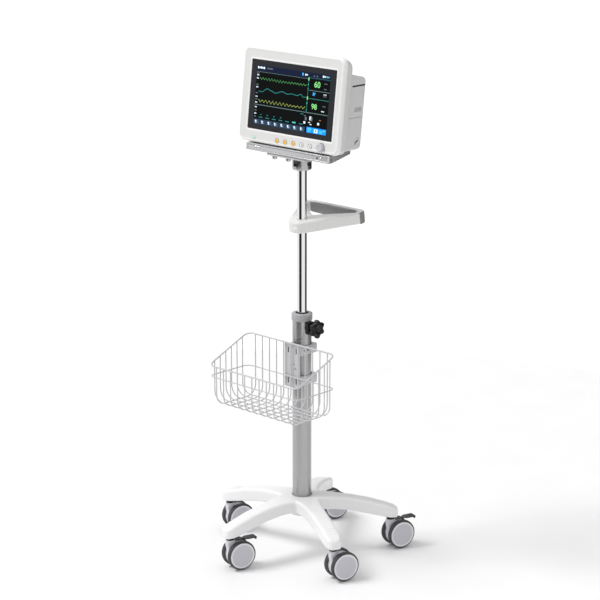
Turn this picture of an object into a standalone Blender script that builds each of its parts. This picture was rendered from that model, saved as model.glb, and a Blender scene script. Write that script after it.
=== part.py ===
"""Patient monitor on a five-leg rolling stand.

The stand's axis is the column; +Z is up, the screen faces -Y and the floor is z = 0.
Sizes are in metres, written in millimetres times MM.
"""

import math

import bmesh
import bpy
from mathutils import Matrix, Vector

MM = 0.001
ASSEMBLY = "patient_monitor_on_stand"

# Where the column's axis stands in the part's own frame.
AXIS_X = 3.3 * MM
AXIS_Y = -10.6 * MM

GAP = 0.3 * MM

# Base and column
BASE_TURN = math.radians(45.6)
LEG_COUNT = 5
STEM_CIRCLE_R = 237 * MM
HUB_R = 37 * MM
HUB_TOP = 155 * MM
HUB_BOTTOM = 102 * MM
BOSS_R = 15 * MM
BOSS_BOTTOM = 89 * MM
LEG_WALL = 4.5 * MM
COLUMN_R = 25 * MM
COLUMN_WALL = 2.5 * MM
COLUMN_TOP = 640.7 * MM
COLLAR_R = 27.5 * MM
COLLAR_TOP = 656 * MM
POLE_R = 12.5 * MM
POLE_WALL = 2 * MM
POLE_BOTTOM = 355 * MM
POLE_TOP = 1043 * MM

# Casters: distances measured from the swivel axis along the trail
TRAIL_TURN = math.radians(72)
TRAIL = 24 * MM
WHEEL_R = 40 * MM
WHEEL_W = 16 * MM
WHEEL_INNER = 9.7 * MM
AXLE_R = 4 * MM
BORE_R = 4.15 * MM
HOOD_R = 34 * MM
HOOD_W = 18.6 * MM
STEM_R = 9.5 * MM
PEDAL_CASTERS = (0, 2)
PEDAL_PIVOT = (13 * MM, 79 * MM)

# Basket
BASKET_HALF_W = 158 * MM
BASKET_BACK = -42 * MM
BASKET_FRONT = -186 * MM
BASKET_BOTTOM = 415.5 * MM
BASKET_MID = 491 * MM
RIM_FRONT = 520 * MM
RIM_BACK = 581 * MM
RIM_WIRE_R = 2.1 * MM
WIRE_R = 1.5 * MM
RIM_CORNER_R = 18 * MM
BEND_R = 30 * MM
LONG_WIRES = 11
LONG_PITCH = 26 * MM
CROSS_WIRES = 6
CROSS_PITCH = 20.6 * MM

# Basket bracket and its two clamps
PLATE_FRONT = -37 * MM
PLATE_T = 2.5 * MM
PLATE_HALF_W = 27.5 * MM
PLATE_Z = (460 * MM, 578 * MM)
CLAMP_Y = (-34.2 * MM, 30 * MM)
CLAMP_HEIGHTS = {"upper_clamp": (549 * MM, 573 * MM), "lower_clamp": (467 * MM, 492 * MM)}

# Height clamp
KNOB_TURN = 0
KNOB_Z = 621 * MM
KNOB_R = 25 * MM

# Push handle
HANDLE_Z = 891 * MM
HANDLE_TALL = 30 * MM
HANDLE_RISE = math.radians(7.2)

# Head: swivel cup on the pole and the tilting tongue in it
CUP_R = 25 * MM
CUP_Z = (1035 * MM, 1062 * MM)
TILT_Z = 1052 * MM
TONGUE_HALF_W = 7 * MM

# Monitor, in its own frame: x across, y backwards from the front face, z up the face
MONITOR_AT = (0, -40.4 * MM, 1213.5 * MM)
TILT_BACK = math.radians(6.7)
BEZEL_W = 351.5 * MM
BEZEL_SHIFT = -4.25 * MM
BEZEL_LOW = -116.3 * MM
BEZEL_HIGH = 128.8 * MM
BEZEL_D = 14 * MM
BEZEL_CORNER = 20 * MM
SKIN = 3 * MM
GLASS_W = 294 * MM
GLASS_H = 176.5 * MM
GLASS_UP = 6.4 * MM
PANEL_W = 257 * MM
PANEL_H = 150 * MM
LIP_D = 35 * MM
BODY_HALF_W = 162 * MM
BODY_TOP = 84 * MM
BODY_FALL = 0.23
BODY_BOTTOM = -112 * MM
BODY_D = 99 * MM
KEY_ROW = -103.2 * MM
KEY_R = 6 * MM
KEY_TRAVEL_OUT = 0.9 * MM
ENCODER_AT = (115.8 * MM, -100.6 * MM)
KEYS = {
    "alarm_pause_key": -38.6 * MM,
    "alarm_silence_key": -10 * MM,
    "freeze_key": 18.6 * MM,
    "pressure_start_key": 47.4 * MM,
    "menu_key": 76.8 * MM,
}
POWER_KEY_X = -123.2 * MM
DOOR_Y = (38 * MM, 91 * MM)
DOOR_Z = (-99 * MM, -29 * MM)
PANEL_Y = (39 * MM, 92 * MM)
PANEL_Z = (-92 * MM, 60 * MM)
INLET_X = (66 * MM, 96 * MM)
INLET_Z = (-90 * MM, -66 * MM)
TRAY_HALF_W = 146 * MM
TRAY_TOP = -119.5 * MM
TRAY_BOTTOM = -137.5 * MM
TRAY_D = 77 * MM
RAIL_D = 12 * MM
TRAY_RISE = 0.22
ADAPTER_HALF_W = 71 * MM
ADAPTER_T = 6 * MM

COLOURS = {
    "white_powder": ((0.86, 0.87, 0.88), 0.35, 0.0),
    "satin_aluminium": ((0.62, 0.63, 0.65), 0.35, 0.9),
    "polished_steel": ((0.75, 0.76, 0.78), 0.15, 1.0),
    "light_grey_plastic": ((0.60, 0.61, 0.63), 0.45, 0.0),
    "hub_grey": ((0.52, 0.53, 0.56), 0.40, 0.0),
    "tyre_rubber": ((0.05, 0.05, 0.05), 0.70, 0.0),
    "black_plastic": ((0.02, 0.02, 0.02), 0.40, 0.0),
    "white_wire": ((0.80, 0.81, 0.82), 0.30, 0.0),
    "handle_white": ((0.84, 0.85, 0.86), 0.35, 0.0),
    "grip_grey": ((0.35, 0.36, 0.37), 0.70, 0.0),
    "case_white": ((0.83, 0.84, 0.83), 0.45, 0.0),
    "case_grey": ((0.66, 0.67, 0.67), 0.50, 0.0),
    "black_glass": ((0.01, 0.01, 0.012), 0.05, 0.0),
    "circuit_green": ((0.03, 0.20, 0.08), 0.50, 0.0),
    "amber_key": ((0.95, 0.55, 0.08), 0.45, 0.0),
    "green_key": ((0.20, 0.75, 0.50), 0.45, 0.0),
    "bracket_grey": ((0.62, 0.63, 0.65), 0.40, 0.3),
}


def clear_scene():
    for item in list(bpy.data.objects):
        bpy.data.objects.remove(item, do_unlink=True)


def new_collection(name):
    group = bpy.data.collections.new(name)
    bpy.context.scene.collection.children.link(group)
    return group


def material(name):
    found = bpy.data.materials.get(name)
    if found:
        return found
    colour, roughness, metallic = COLOURS[name]
    made = bpy.data.materials.new(name)
    made.use_nodes = True
    shader = made.node_tree.nodes["Principled BSDF"]
    shader.inputs["Base Color"].default_value = (*colour, 1.0)
    shader.inputs["Roughness"].default_value = roughness
    shader.inputs["Metallic"].default_value = metallic
    return made


def empty(name, location, rotation=(0, 0, 0), parent=None):
    frame = bpy.data.objects.new(name, None)
    PARTS.objects.link(frame)
    frame.location = location
    frame.rotation_euler = rotation
    frame.parent = parent
    return frame


def link(name, mesh, finish=None, parent=None, location=(0, 0, 0), rotation=(0, 0, 0)):
    """A finish makes the object a part; without one it is a cutter or a piece to be joined."""
    item = bpy.data.objects.new(name, mesh)
    if finish:
        PARTS.objects.link(item)
        item.data.materials.append(material(finish))
    else:
        TOOLS.objects.link(item)
        item.hide_render = True
        item.display_type = "WIRE"
    item.parent = parent or ROOT
    item.location = location
    item.rotation_euler = rotation
    return item


def smooth(item, angle=35):
    item.data.shade_smooth()
    item.data.set_sharp_from_angle(angle=math.radians(angle))


def box_mesh(name, low, high):
    mesh = bpy.data.meshes.new(name)
    bm = bmesh.new()
    bmesh.ops.create_cube(bm, size=1.0)
    low, high = Vector(low), Vector(high)
    bmesh.ops.scale(bm, vec=high - low, verts=bm.verts)
    bmesh.ops.translate(bm, vec=(low + high) / 2, verts=bm.verts)
    bm.to_mesh(mesh)
    bm.free()
    return mesh


def box(name, low, high, finish=None, parent=None, round_edges=0.0, steps=2):
    item = link(name, box_mesh(name, low, high), finish, parent)
    if round_edges:
        bevel(item, round_edges, steps)
    return item


def bevel(item, width, segments=2, angle=40):
    edge = item.modifiers.new("round", "BEVEL")
    edge.width = width
    edge.segments = segments
    edge.limit_method = "ANGLE"
    edge.angle_limit = math.radians(angle)


def cylinder(name, radius, low, high, finish=None, parent=None, axis="Z", centre=(0, 0), segments=24):
    """A cylinder along an axis; centre gives its place on the other two axes, in order."""
    mesh = bpy.data.meshes.new(name)
    bm = bmesh.new()
    bmesh.ops.create_cone(bm, cap_ends=True, segments=segments, radius1=radius, radius2=radius,
                          depth=high - low)
    turns = {"Z": Matrix(), "X": Matrix.Rotation(math.pi / 2, 4, "Y"),
             "Y": Matrix.Rotation(-math.pi / 2, 4, "X")}
    bmesh.ops.transform(bm, matrix=turns[axis], verts=bm.verts)
    middle = (low + high) / 2
    places = {"Z": (*centre, middle), "X": (middle, *centre), "Y": (centre[0], middle, centre[1])}
    bmesh.ops.translate(bm, vec=places[axis], verts=bm.verts)
    bm.to_mesh(mesh)
    bm.free()
    item = link(name, mesh, finish, parent)
    smooth(item)
    return item


def turned(name, profile, finish=None, parent=None, location=(0, 0, 0), rotation=(0, 0, 0),
           steps=24, ring=False):
    """Turn (radius, height) points about Z. They run top to bottom on the outer side."""
    mesh = bpy.data.meshes.new(name)
    count = len(profile)
    edges = [(i, i + 1) for i in range(count - 1)]
    if ring:
        edges.append((count - 1, 0))
    mesh.from_pydata([(r, 0, z) for r, z in profile], edges, [])
    item = link(name, mesh, finish, parent, location, rotation)
    screw = item.modifiers.new("turn", "SCREW")
    screw.axis = "Z"
    screw.steps = steps
    screw.render_steps = steps
    screw.use_merge_vertices = True
    screw.merge_threshold = 0.00001
    screw.use_smooth_shade = True
    return item


def arc(centre, radius, start, end, count):
    """Points on an arc, angles in degrees."""
    points = []
    for i in range(count + 1):
        a = math.radians(start + (end - start) * i / count)
        points.append((centre[0] + radius * math.cos(a), centre[1] + radius * math.sin(a)))
    return points


def ring_outline(centre, radius, sides):
    return arc(centre, radius, 0, 360 - 360 / sides, sides - 1)


def rounded_rectangle(half_w, low, high, radius, steps=4):
    corners = ((half_w - radius, high - radius, 0), (-half_w + radius, high - radius, 90),
               (-half_w + radius, low + radius, 180), (half_w - radius, low + radius, 270))
    points = []
    for x, y, start in corners:
        points += arc((x, y), radius, start, start + 90, steps)
    return points


def belt(circles, steps=5):
    """The tight outline round circles (x, y, radius) given anticlockwise."""
    points = []
    count = len(circles)
    for i, (x, y, r) in enumerate(circles):
        before = circles[i - 1]
        after = circles[(i + 1) % count]
        starts = []
        for first, second in ((before, (x, y, r)), ((x, y, r), after)):
            dx, dy = second[0] - first[0], second[1] - first[1]
            lean = math.acos((first[2] - second[2]) / math.hypot(dx, dy))
            starts.append(math.degrees(math.atan2(dy, dx) - lean))
        start, end = starts
        while end < start:
            end += 360
        points += arc((x, y), r, start, end, steps)
    return points


def flat_shape(name, outlines, thickness, finish=None, parent=None, location=(0, 0, 0),
               rotation=(0, 0, 0)):
    """Extrude outlines in the local XY plane by half the thickness each way; inner ones are holes."""
    curve = bpy.data.curves.new(name, "CURVE")
    curve.dimensions = "2D"
    curve.fill_mode = "BOTH"
    curve.extrude = thickness / 2
    curve.render_resolution_u = 0
    for outline in outlines:
        spline = curve.splines.new("POLY")
        spline.points.add(len(outline) - 1)
        for point, (x, y) in zip(spline.points, outline):
            point.co = (x, y, 0, 1)
        spline.use_cyclic_u = True
    return link_curve(name, curve, finish, parent, location, rotation)


def tube(name, points, radius, finish=None, parent=None, cyclic=False, sides=1):
    curve = bpy.data.curves.new(name, "CURVE")
    curve.dimensions = "3D"
    curve.bevel_depth = radius
    curve.bevel_resolution = sides
    curve.use_fill_caps = not cyclic
    curve.render_resolution_u = 0
    spline = curve.splines.new("POLY")
    spline.points.add(len(points) - 1)
    for point, place in zip(spline.points, points):
        point.co = (*place, 1)
    spline.use_cyclic_u = cyclic
    return link_curve(name, curve, finish, parent)


def link_curve(name, curve, finish, parent, location=(0, 0, 0), rotation=(0, 0, 0)):
    """Turn a curve into a closed mesh object."""
    holder = bpy.data.objects.new(name + "_curve", curve)
    bpy.context.scene.collection.objects.link(holder)
    graph = bpy.context.evaluated_depsgraph_get()
    mesh = bpy.data.meshes.new_from_object(holder.evaluated_get(graph))
    bpy.data.objects.remove(holder)
    bpy.data.curves.remove(curve)
    bm = bmesh.new()
    bm.from_mesh(mesh)
    bmesh.ops.remove_doubles(bm, verts=bm.verts, dist=0.00001)
    bmesh.ops.recalc_face_normals(bm, faces=bm.faces)
    bm.to_mesh(mesh)
    bm.free()
    mesh.name = name
    mesh.materials.clear()
    item = link(name, mesh, finish, parent, location, rotation)
    smooth(item)
    return item


def boolean(item, other, operation, solver="EXACT"):
    change = item.modifiers.new(operation.lower(), "BOOLEAN")
    change.operation = operation
    change.solver = solver
    change.object = other


def cut(item, *others, solver="EXACT"):
    for other in others:
        boolean(item, other, "DIFFERENCE", solver)


def join(item, *others):
    for other in others:
        boolean(item, other, "UNION")


def join_all(item, name, others):
    """Join many pieces to one in a single step."""
    group = bpy.data.collections.new(name)
    TOOLS.children.link(group)
    for other in others:
        TOOLS.objects.unlink(other)
        group.objects.link(other)
    change = item.modifiers.new("join", "BOOLEAN")
    change.operation = "UNION"
    change.solver = "EXACT"
    change.operand_type = "COLLECTION"
    change.collection = group


# ---------------------------------------------------------------- base and column

LEG_STATIONS = (
    # distance from the axis, half width, top, bottom
    (20, 31, 154.5, 120), (42, 37, 154.5, 120), (60, 30, 154, 120), (85, 25.5, 152.5, 119),
    (125, 23, 148.5, 114), (175, 22, 139, 104), (225, 21.5, 125, 92.5), (242, 20, 119.5, 90),
    (252, 15.5, 115, 89), (256.6, 9, 110.5, 89.5),
)


def leg_mesh(name, stations, shoulder, inset=0.0, drop=0.0):
    """A leg along +X, lofted through sections with rounded shoulders; inset and drop make its hollow."""
    mesh = bpy.data.meshes.new(name)
    bm = bmesh.new()
    rings = []
    for distance, half, top, bottom in stations:
        x, half, top, bottom = distance * MM, half * MM - inset, top * MM - inset, bottom * MM - drop
        side = [(half, bottom), (half, top - shoulder), (half - 0.3 * shoulder, top - 0.3 * shoulder),
                (half - shoulder, top)]
        section = side + [(-y, z) for y, z in reversed(side)]
        rings.append([bm.verts.new((x, y, z)) for y, z in section])
    for ring, after in zip(rings, rings[1:]):
        for i in range(len(ring)):
            j = (i + 1) % len(ring)
            bm.faces.new((ring[i], ring[j], after[j], after[i]))
    bm.faces.new(reversed(rings[0]))
    bm.faces.new(rings[-1])
    bmesh.ops.recalc_face_normals(bm, faces=bm.faces)
    bm.to_mesh(mesh)
    bm.free()
    return mesh


def stem_place(index):
    turn = BASE_TURN - index * math.tau / LEG_COUNT
    return STEM_CIRCLE_R * math.cos(turn), STEM_CIRCLE_R * math.sin(turn)


def make_base():
    hub = turned("star_base", [(0, HUB_TOP), (HUB_R - 4 * MM, HUB_TOP), (HUB_R, HUB_TOP - 4 * MM),
                               (HUB_R, HUB_BOTTOM + 6 * MM), (HUB_R - 6 * MM, HUB_BOTTOM), (0, HUB_BOTTOM)],
                 "white_powder", steps=30)
    mesh = leg_mesh("leg", LEG_STATIONS, 7 * MM)
    hollow = leg_mesh("leg_hollow", LEG_STATIONS[2:6], 3 * MM, LEG_WALL, 4 * MM)
    pieces = []
    for i in range(LEG_COUNT):
        turn = BASE_TURN - i * math.tau / LEG_COUNT
        pieces.append(link(f"leg_{i}", mesh, rotation=(0, 0, turn)))
        boss = cylinder(f"stem_boss_{i}", BOSS_R, BOSS_BOTTOM - 0.7 * MM, 100 * MM, centre=stem_place(i),
                        segments=16)
        pieces.append(boss)
    join_all(hub, "leg_pieces", pieces)
    for i in range(LEG_COUNT):
        socket = cylinder(f"stem_socket_{i}", STEM_R - 3.8 * MM, 80 * MM, 104.5 * MM,
                          centre=stem_place(i), segments=12)
        turn = BASE_TURN - i * math.tau / LEG_COUNT
        cut(hub, socket, link(f"leg_hollow_{i}", hollow, rotation=(0, 0, turn)))
    cut(hub, cylinder("nut_recess", 11 * MM, 90 * MM, 106 * MM, segments=16))
    merge = hub.modifiers.new("merge", "WELD")
    merge.merge_threshold = 0.01 * MM

    turned("base_nut", [(0, 105.6 * MM), (10.4 * MM, 105.6 * MM), (10.4 * MM, 99 * MM),
                        (8 * MM, 96.5 * MM), (0, 96.5 * MM)], "polished_steel", steps=6)
    foot = HUB_TOP + GAP
    turned("column_foot_ring", [(COLUMN_R + GAP, foot + 2.5 * MM), (COLUMN_R + 1.3 * MM, foot + 2.5 * MM),
                                (COLUMN_R + 2.3 * MM, foot + 1.5 * MM), (COLUMN_R + 2.3 * MM, foot),
                                (COLUMN_R + GAP, foot)], "black_plastic", steps=24, ring=True)


def knob_frame():
    return empty("height_clamp_axis", (0, 0, KNOB_Z), (0, 0, KNOB_TURN), ROOT)


def make_column(frame):
    inner = COLUMN_R - COLUMN_WALL
    column = turned("column_tube", [(inner, COLUMN_TOP), (COLUMN_R, COLUMN_TOP), (COLUMN_R, HUB_TOP + GAP),
                                    (inner, HUB_TOP + GAP)], "satin_aluminium", steps=30, ring=True)
    bush = turned("guide_bush", [(POLE_R + GAP, COLLAR_TOP + 2 * MM), (POLE_R + 3 * MM, COLLAR_TOP + 2 * MM),
                                 (POLE_R + 3.8 * MM, COLLAR_TOP + 0.2 * MM),
                                 (POLE_R + 3.8 * MM, COLUMN_TOP + GAP), (inner - GAP, COLUMN_TOP + GAP),
                                 (inner - GAP, COLUMN_TOP - 70 * MM), (POLE_R + GAP, COLUMN_TOP - 70 * MM)],
                  "black_plastic", steps=20, ring=True)
    turned("collar", [(POLE_R + 4.2 * MM, COLLAR_TOP), (COLLAR_R - 2 * MM, COLLAR_TOP),
                      (COLLAR_R, COLLAR_TOP - 2 * MM), (COLLAR_R, COLUMN_TOP - 4 * MM),
                      (COLUMN_R + GAP, COLUMN_TOP - 4 * MM), (COLUMN_R + GAP, COLUMN_TOP + 2 * GAP),
                      (POLE_R + 4.2 * MM, COLUMN_TOP + 2 * GAP)], "light_grey_plastic", steps=24, ring=True)
    screw_hole = cylinder("clamp_screw_hole", 5 * MM, 8 * MM, 60 * MM, parent=frame, axis="X", segments=16)
    cut(column, screw_hole)
    cut(bush, screw_hole)

    boss = box("clamp_boss", (15 * MM, -11 * MM, -18 * MM), (34 * MM, 11 * MM, 15 * MM), "black_plastic",
               frame, 3 * MM)
    cut(boss, cylinder("column_clearance", COLUMN_R + GAP, -60 * MM, 60 * MM, parent=frame, segments=40))
    cut(boss, screw_hole)


def make_clamp_knob(frame):
    """A seven-lobed star knob with its screw, on the clamp's axis."""
    lobes, samples = 7, 4
    outline = []
    for i in range(lobes * samples):
        a = math.tau * i / (lobes * samples)
        outline.append(((KNOB_R - 3 * MM + 3 * MM * math.cos(lobes * a)) * math.cos(a),
                        (KNOB_R - 3 * MM + 3 * MM * math.cos(lobes * a)) * math.sin(a)))
    head = flat_shape("clamp_knob", [outline], 15 * MM, "black_plastic", frame, (54 * MM, 0, 0),
                      (0, math.pi / 2, 0))
    bevel(head, 1.8 * MM, 1, 50)
    neck = turned("knob_neck", [(0, 50 * MM), (15 * MM, 50 * MM), (10 * MM, 40 * MM), (9 * MM, 36 * MM),
                                (4.2 * MM, 35.5 * MM), (4.2 * MM, POLE_R + 0.4 * MM), (0, POLE_R + 0.4 * MM)],
                  parent=frame, rotation=(0, math.pi / 2, 0), steps=12)
    join(head, neck)


# ---------------------------------------------------------------- casters

def make_wheel(name, frame, side):
    profile = [(0, WHEEL_W - 1 * MM), (31 * MM, WHEEL_W - 1 * MM), (34.5 * MM, WHEEL_W),
               (WHEEL_R - 1.6 * MM, WHEEL_W - 3 * MM), (WHEEL_R, WHEEL_W / 2), (WHEEL_R - 1.6 * MM, 3 * MM),
               (34 * MM, 0), (BORE_R, 0), (BORE_R, WHEEL_W - 4 * MM), (0, WHEEL_W - 4 * MM)]
    turned(name, profile, "tyre_rubber", frame, (TRAIL, side * WHEEL_INNER, WHEEL_R),
           (-side * math.pi / 2, 0, 0), steps=16)


def make_caster(index):
    place = stem_place(index)
    frame = empty(f"caster_axis_{index + 1}", (*place, 0), (0, 0, TRAIL_TURN), ROOT)
    circle = arc((TRAIL, WHEEL_R), HOOD_R, -200, 115, 11)
    neck = [(11 * MM, 76 * MM), (10 * MM, 82 * MM), (-10 * MM, 82 * MM), (-11.5 * MM, 70 * MM)]
    hood = flat_shape(f"caster_body_{index + 1}", [circle + neck], HOOD_W, "hub_grey", frame,
                      (0, 0, 0), (math.pi / 2, 0, 0))
    bevel(hood, 2 * MM, 1, 60)
    stem = turned(f"caster_stem_{index + 1}", [(0, 103 * MM), (5.2 * MM, 103 * MM), (5.2 * MM, 87.7 * MM),
                                               (11 * MM, 87.7 * MM), (11 * MM, 81 * MM), (9 * MM, 76 * MM),
                                               (0, 76 * MM)], parent=frame, steps=12)
    reach = WHEEL_INNER + WHEEL_W - 4.4 * MM
    axle = cylinder(f"caster_axle_{index + 1}", AXLE_R, -reach, reach, parent=frame, axis="Y",
                    centre=(TRAIL, WHEEL_R), segments=10)
    join(hood, stem, axle)
    make_wheel(f"wheel_{index + 1}_left", frame, 1)
    make_wheel(f"wheel_{index + 1}_right", frame, -1)
    if index in PEDAL_CASTERS:
        make_pedal(index, frame)


def make_pedal(index, frame):
    """A lever that starts at its pivot behind the stem and ends in a foot pad above the wheels."""
    x, z = PEDAL_PIVOT
    pivot = empty(f"brake_pivot_{index + 1}", (x, 0, z), parent=frame)
    outline = [(0, -5 * MM), (37 * MM, -5 * MM), (41 * MM, -12 * MM), (60 * MM, -9 * MM),
               (60 * MM, 9 * MM), (41 * MM, 12 * MM), (37 * MM, 5 * MM), (0, 5 * MM)]
    pedal = flat_shape(f"brake_pedal_{index + 1}", [outline], 3 * MM, "black_plastic", pivot)
    bevel(pedal, 0.8 * MM, 1, 40)


# ---------------------------------------------------------------- basket and bracket

def ring_points(half_w, front, back, corner, height_at, steps=3):
    outline = rounded_rectangle(half_w, front, back, corner, steps)
    return [(x, y, height_at(y)) for x, y in outline]


def rim_height(y):
    share = (y - BASKET_FRONT) / (BASKET_BACK - BASKET_FRONT)
    return RIM_FRONT + (RIM_BACK - RIM_FRONT) * share


def u_wire(start, end, bottom, steps=3):
    """A wire in a vertical plane: down from start, along the bottom, up to end; (along, height) points."""
    (first, first_top), (last, last_top) = start, end
    low = [(first, first_top)]
    low += arc((first + BEND_R, bottom + BEND_R), BEND_R, 180, 270, steps)
    low += arc((last - BEND_R, bottom + BEND_R), BEND_R, 270, 360, steps)
    return low + [(last, last_top)]


def make_basket():
    rim = ring_points(BASKET_HALF_W, BASKET_FRONT, BASKET_BACK, RIM_CORNER_R, rim_height)
    basket = tube("wire_basket", rim, RIM_WIRE_R, "white_wire", cyclic=True)
    middle = ring_points(BASKET_HALF_W, BASKET_FRONT, BASKET_BACK, RIM_CORNER_R, lambda y: BASKET_MID)
    wires = [tube("mid_wire", middle, WIRE_R, cyclic=True, sides=0)]
    for i in range(LONG_WIRES):
        x = (i - (LONG_WIRES - 1) / 2) * LONG_PITCH
        path = u_wire((BASKET_FRONT, RIM_FRONT), (BASKET_BACK, RIM_BACK), BASKET_BOTTOM)
        wires.append(tube(f"long_wire_{i}", [(x, y, z) for y, z in path], WIRE_R, sides=0))
    middle_y = (BASKET_FRONT + BASKET_BACK) / 2
    for i in range(CROSS_WIRES):
        y = middle_y + (i - (CROSS_WIRES - 1) / 2) * CROSS_PITCH
        top = rim_height(y)
        path = u_wire((-BASKET_HALF_W, top), (BASKET_HALF_W, top), BASKET_BOTTOM + 1.7 * WIRE_R)
        wires.append(tube(f"cross_wire_{i}", [(x, y, z) for x, z in path], WIRE_R, sides=0))
    join_all(basket, "basket_wires", wires)


def make_bracket():
    low, high = PLATE_Z
    plate = box("basket_bracket", (-PLATE_HALF_W, PLATE_FRONT, low), (PLATE_HALF_W, PLATE_FRONT + PLATE_T, high),
                "bracket_grey")
    for i, (x, z) in enumerate(((-14, 560), (14, 560), (-14, 478), (14, 478))):
        cut(plate, box(f"plate_slot_{i}", ((x - 2) * MM, -50 * MM, (z - 8) * MM),
                       ((x + 2) * MM, -20 * MM, (z + 8) * MM)))
    bore = cylinder("clamp_bore", COLUMN_R + GAP, 300 * MM, 600 * MM, segments=36)
    front, back = CLAMP_Y
    for name, (bottom, top) in CLAMP_HEIGHTS.items():
        clamp = box(name, (-28 * MM, front, bottom), (28 * MM, back, top), "bracket_grey", round_edges=3 * MM,
                    steps=1)
        cut(clamp, bore, box(f"{name}_split", (-40 * MM, 26 * MM, bottom - MM), (-26 * MM, 40 * MM, top + MM)))


# ---------------------------------------------------------------- pole and handle

def make_pole():
    inner = POLE_R - POLE_WALL
    turned("pole_tube", [(inner, POLE_TOP), (POLE_R, POLE_TOP), (POLE_R, POLE_BOTTOM), (inner, POLE_BOTTOM)],
           "polished_steel", steps=28, ring=True)
    plug_top = POLE_BOTTOM - GAP
    turned("pole_end_plug", [(0, plug_top), (POLE_R, plug_top), (POLE_R + 6 * MM, plug_top - 2 * MM),
                             (POLE_R + 6 * MM, plug_top - 22 * MM), (0, plug_top - 22 * MM)],
           "black_plastic", steps=20)


def handle_frame():
    return empty("handle_centre", (0, 0, HANDLE_Z), (HANDLE_RISE, 0, 0), ROOT)


HANDLE_OUTER = ((0, 0, 34 * MM), (84 * MM, 116 * MM, 22 * MM), (-84 * MM, 116 * MM, 22 * MM))
HANDLE_INNER = ((0, 52 * MM, 9 * MM), (78 * MM, 114 * MM, 12 * MM), (-78 * MM, 114 * MM, 12 * MM))


def make_handle():
    frame = handle_frame()
    loop = flat_shape("handle_frame", [belt(HANDLE_OUTER, 8), belt(HANDLE_INNER, 5)], HANDLE_TALL,
                      "handle_white", frame)
    bevel(loop, 2.5 * MM, 1, 60)
    cut(loop, cylinder("handle_bore", POLE_R + GAP, HANDLE_Z - 40 * MM, HANDLE_Z + 40 * MM, segments=28))
    back = 126 * MM - GAP
    pad = []
    for i in range(15):
        t = i / 14
        pad.append(((-75 + 150 * t) * MM, back - (11 + 6.5 * math.sin(math.tau * (t - 0.4))) * MM))
    pad += [(75 * MM, back), (-75 * MM, back)]
    grip = flat_shape("handle_grip", [pad], HANDLE_TALL - 1 * MM, "grip_grey", frame)
    bevel(grip, 1 * MM, 1, 60)


# ---------------------------------------------------------------- head and monitor

def make_head():
    low, high = CUP_Z
    cup = turned("mount_cup", [(0, high), (CUP_R - 1 * MM, high), (CUP_R, high - 1 * MM), (CUP_R, low + 4 * MM),
                               (CUP_R - 4 * MM, low), (0, low)], "satin_aluminium", steps=24)
    cut(cup, cylinder("pole_socket", POLE_R + GAP, low - 10 * MM, POLE_TOP + GAP, segments=24))
    cut(cup, box("tongue_slot", (-TONGUE_HALF_W - GAP, -40 * MM, POLE_TOP + 2.5 * MM),
                 (TONGUE_HALF_W + GAP, 40 * MM, 1080 * MM)))
    cut(cup, cylinder("tilt_bolt_hole", 3.3 * MM, -40 * MM, 40 * MM, axis="X", centre=(0, TILT_Z), segments=12))
    bolt = cylinder("tilt_bolt", 3 * MM, -CUP_R - 1 * MM, CUP_R + 1 * MM, "black_plastic", axis="X",
                    centre=(0, TILT_Z), segments=16)
    head = cylinder("tilt_bolt_head", 5 * MM, CUP_R + GAP, CUP_R + 4 * MM, axis="X", centre=(0, TILT_Z),
                    segments=12)
    join(bolt, head)


def monitor_frame():
    return empty("monitor_face", MONITOR_AT, (-TILT_BACK, 0, 0), ROOT)


def level(item, fall=0.0, rise=0.0, start=0.0):
    """Run a piece's depth lines level behind the leaning face; its top may fall and its bottom rise."""
    place = item.matrix_basis.copy()
    back = place.inverted()
    points = [place @ v.co for v in item.data.vertices]
    middle = sum(p.z for p in points) / len(points)
    for vertex, p in zip(item.data.vertices, points):
        p.z += p.y * math.tan(TILT_BACK) + (p.y - start) * (-fall if p.z > middle else rise)
        vertex.co = back @ p
    return item


def make_tilt_head(frame):
    """The adapter plate under the tray, with the tongue that goes down into the cup."""
    top = TRAY_BOTTOM - GAP
    plate = level(box("tilt_head", (-ADAPTER_HALF_W, 0.5 * MM, top - ADAPTER_T), (ADAPTER_HALF_W, 70 * MM, top),
                      "bracket_grey", frame, 1 * MM, 1))
    tongue = box("tilt_tongue", (-TONGUE_HALF_W, -6 * MM, TILT_Z - 4 * MM),
                 (TONGUE_HALF_W, 6 * MM, 1078 * MM))
    join(plate, tongue)
    cut(plate, cylinder("tongue_hole", 3.3 * MM, -40 * MM, 40 * MM, axis="X", centre=(0, TILT_Z), segments=16))


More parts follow.
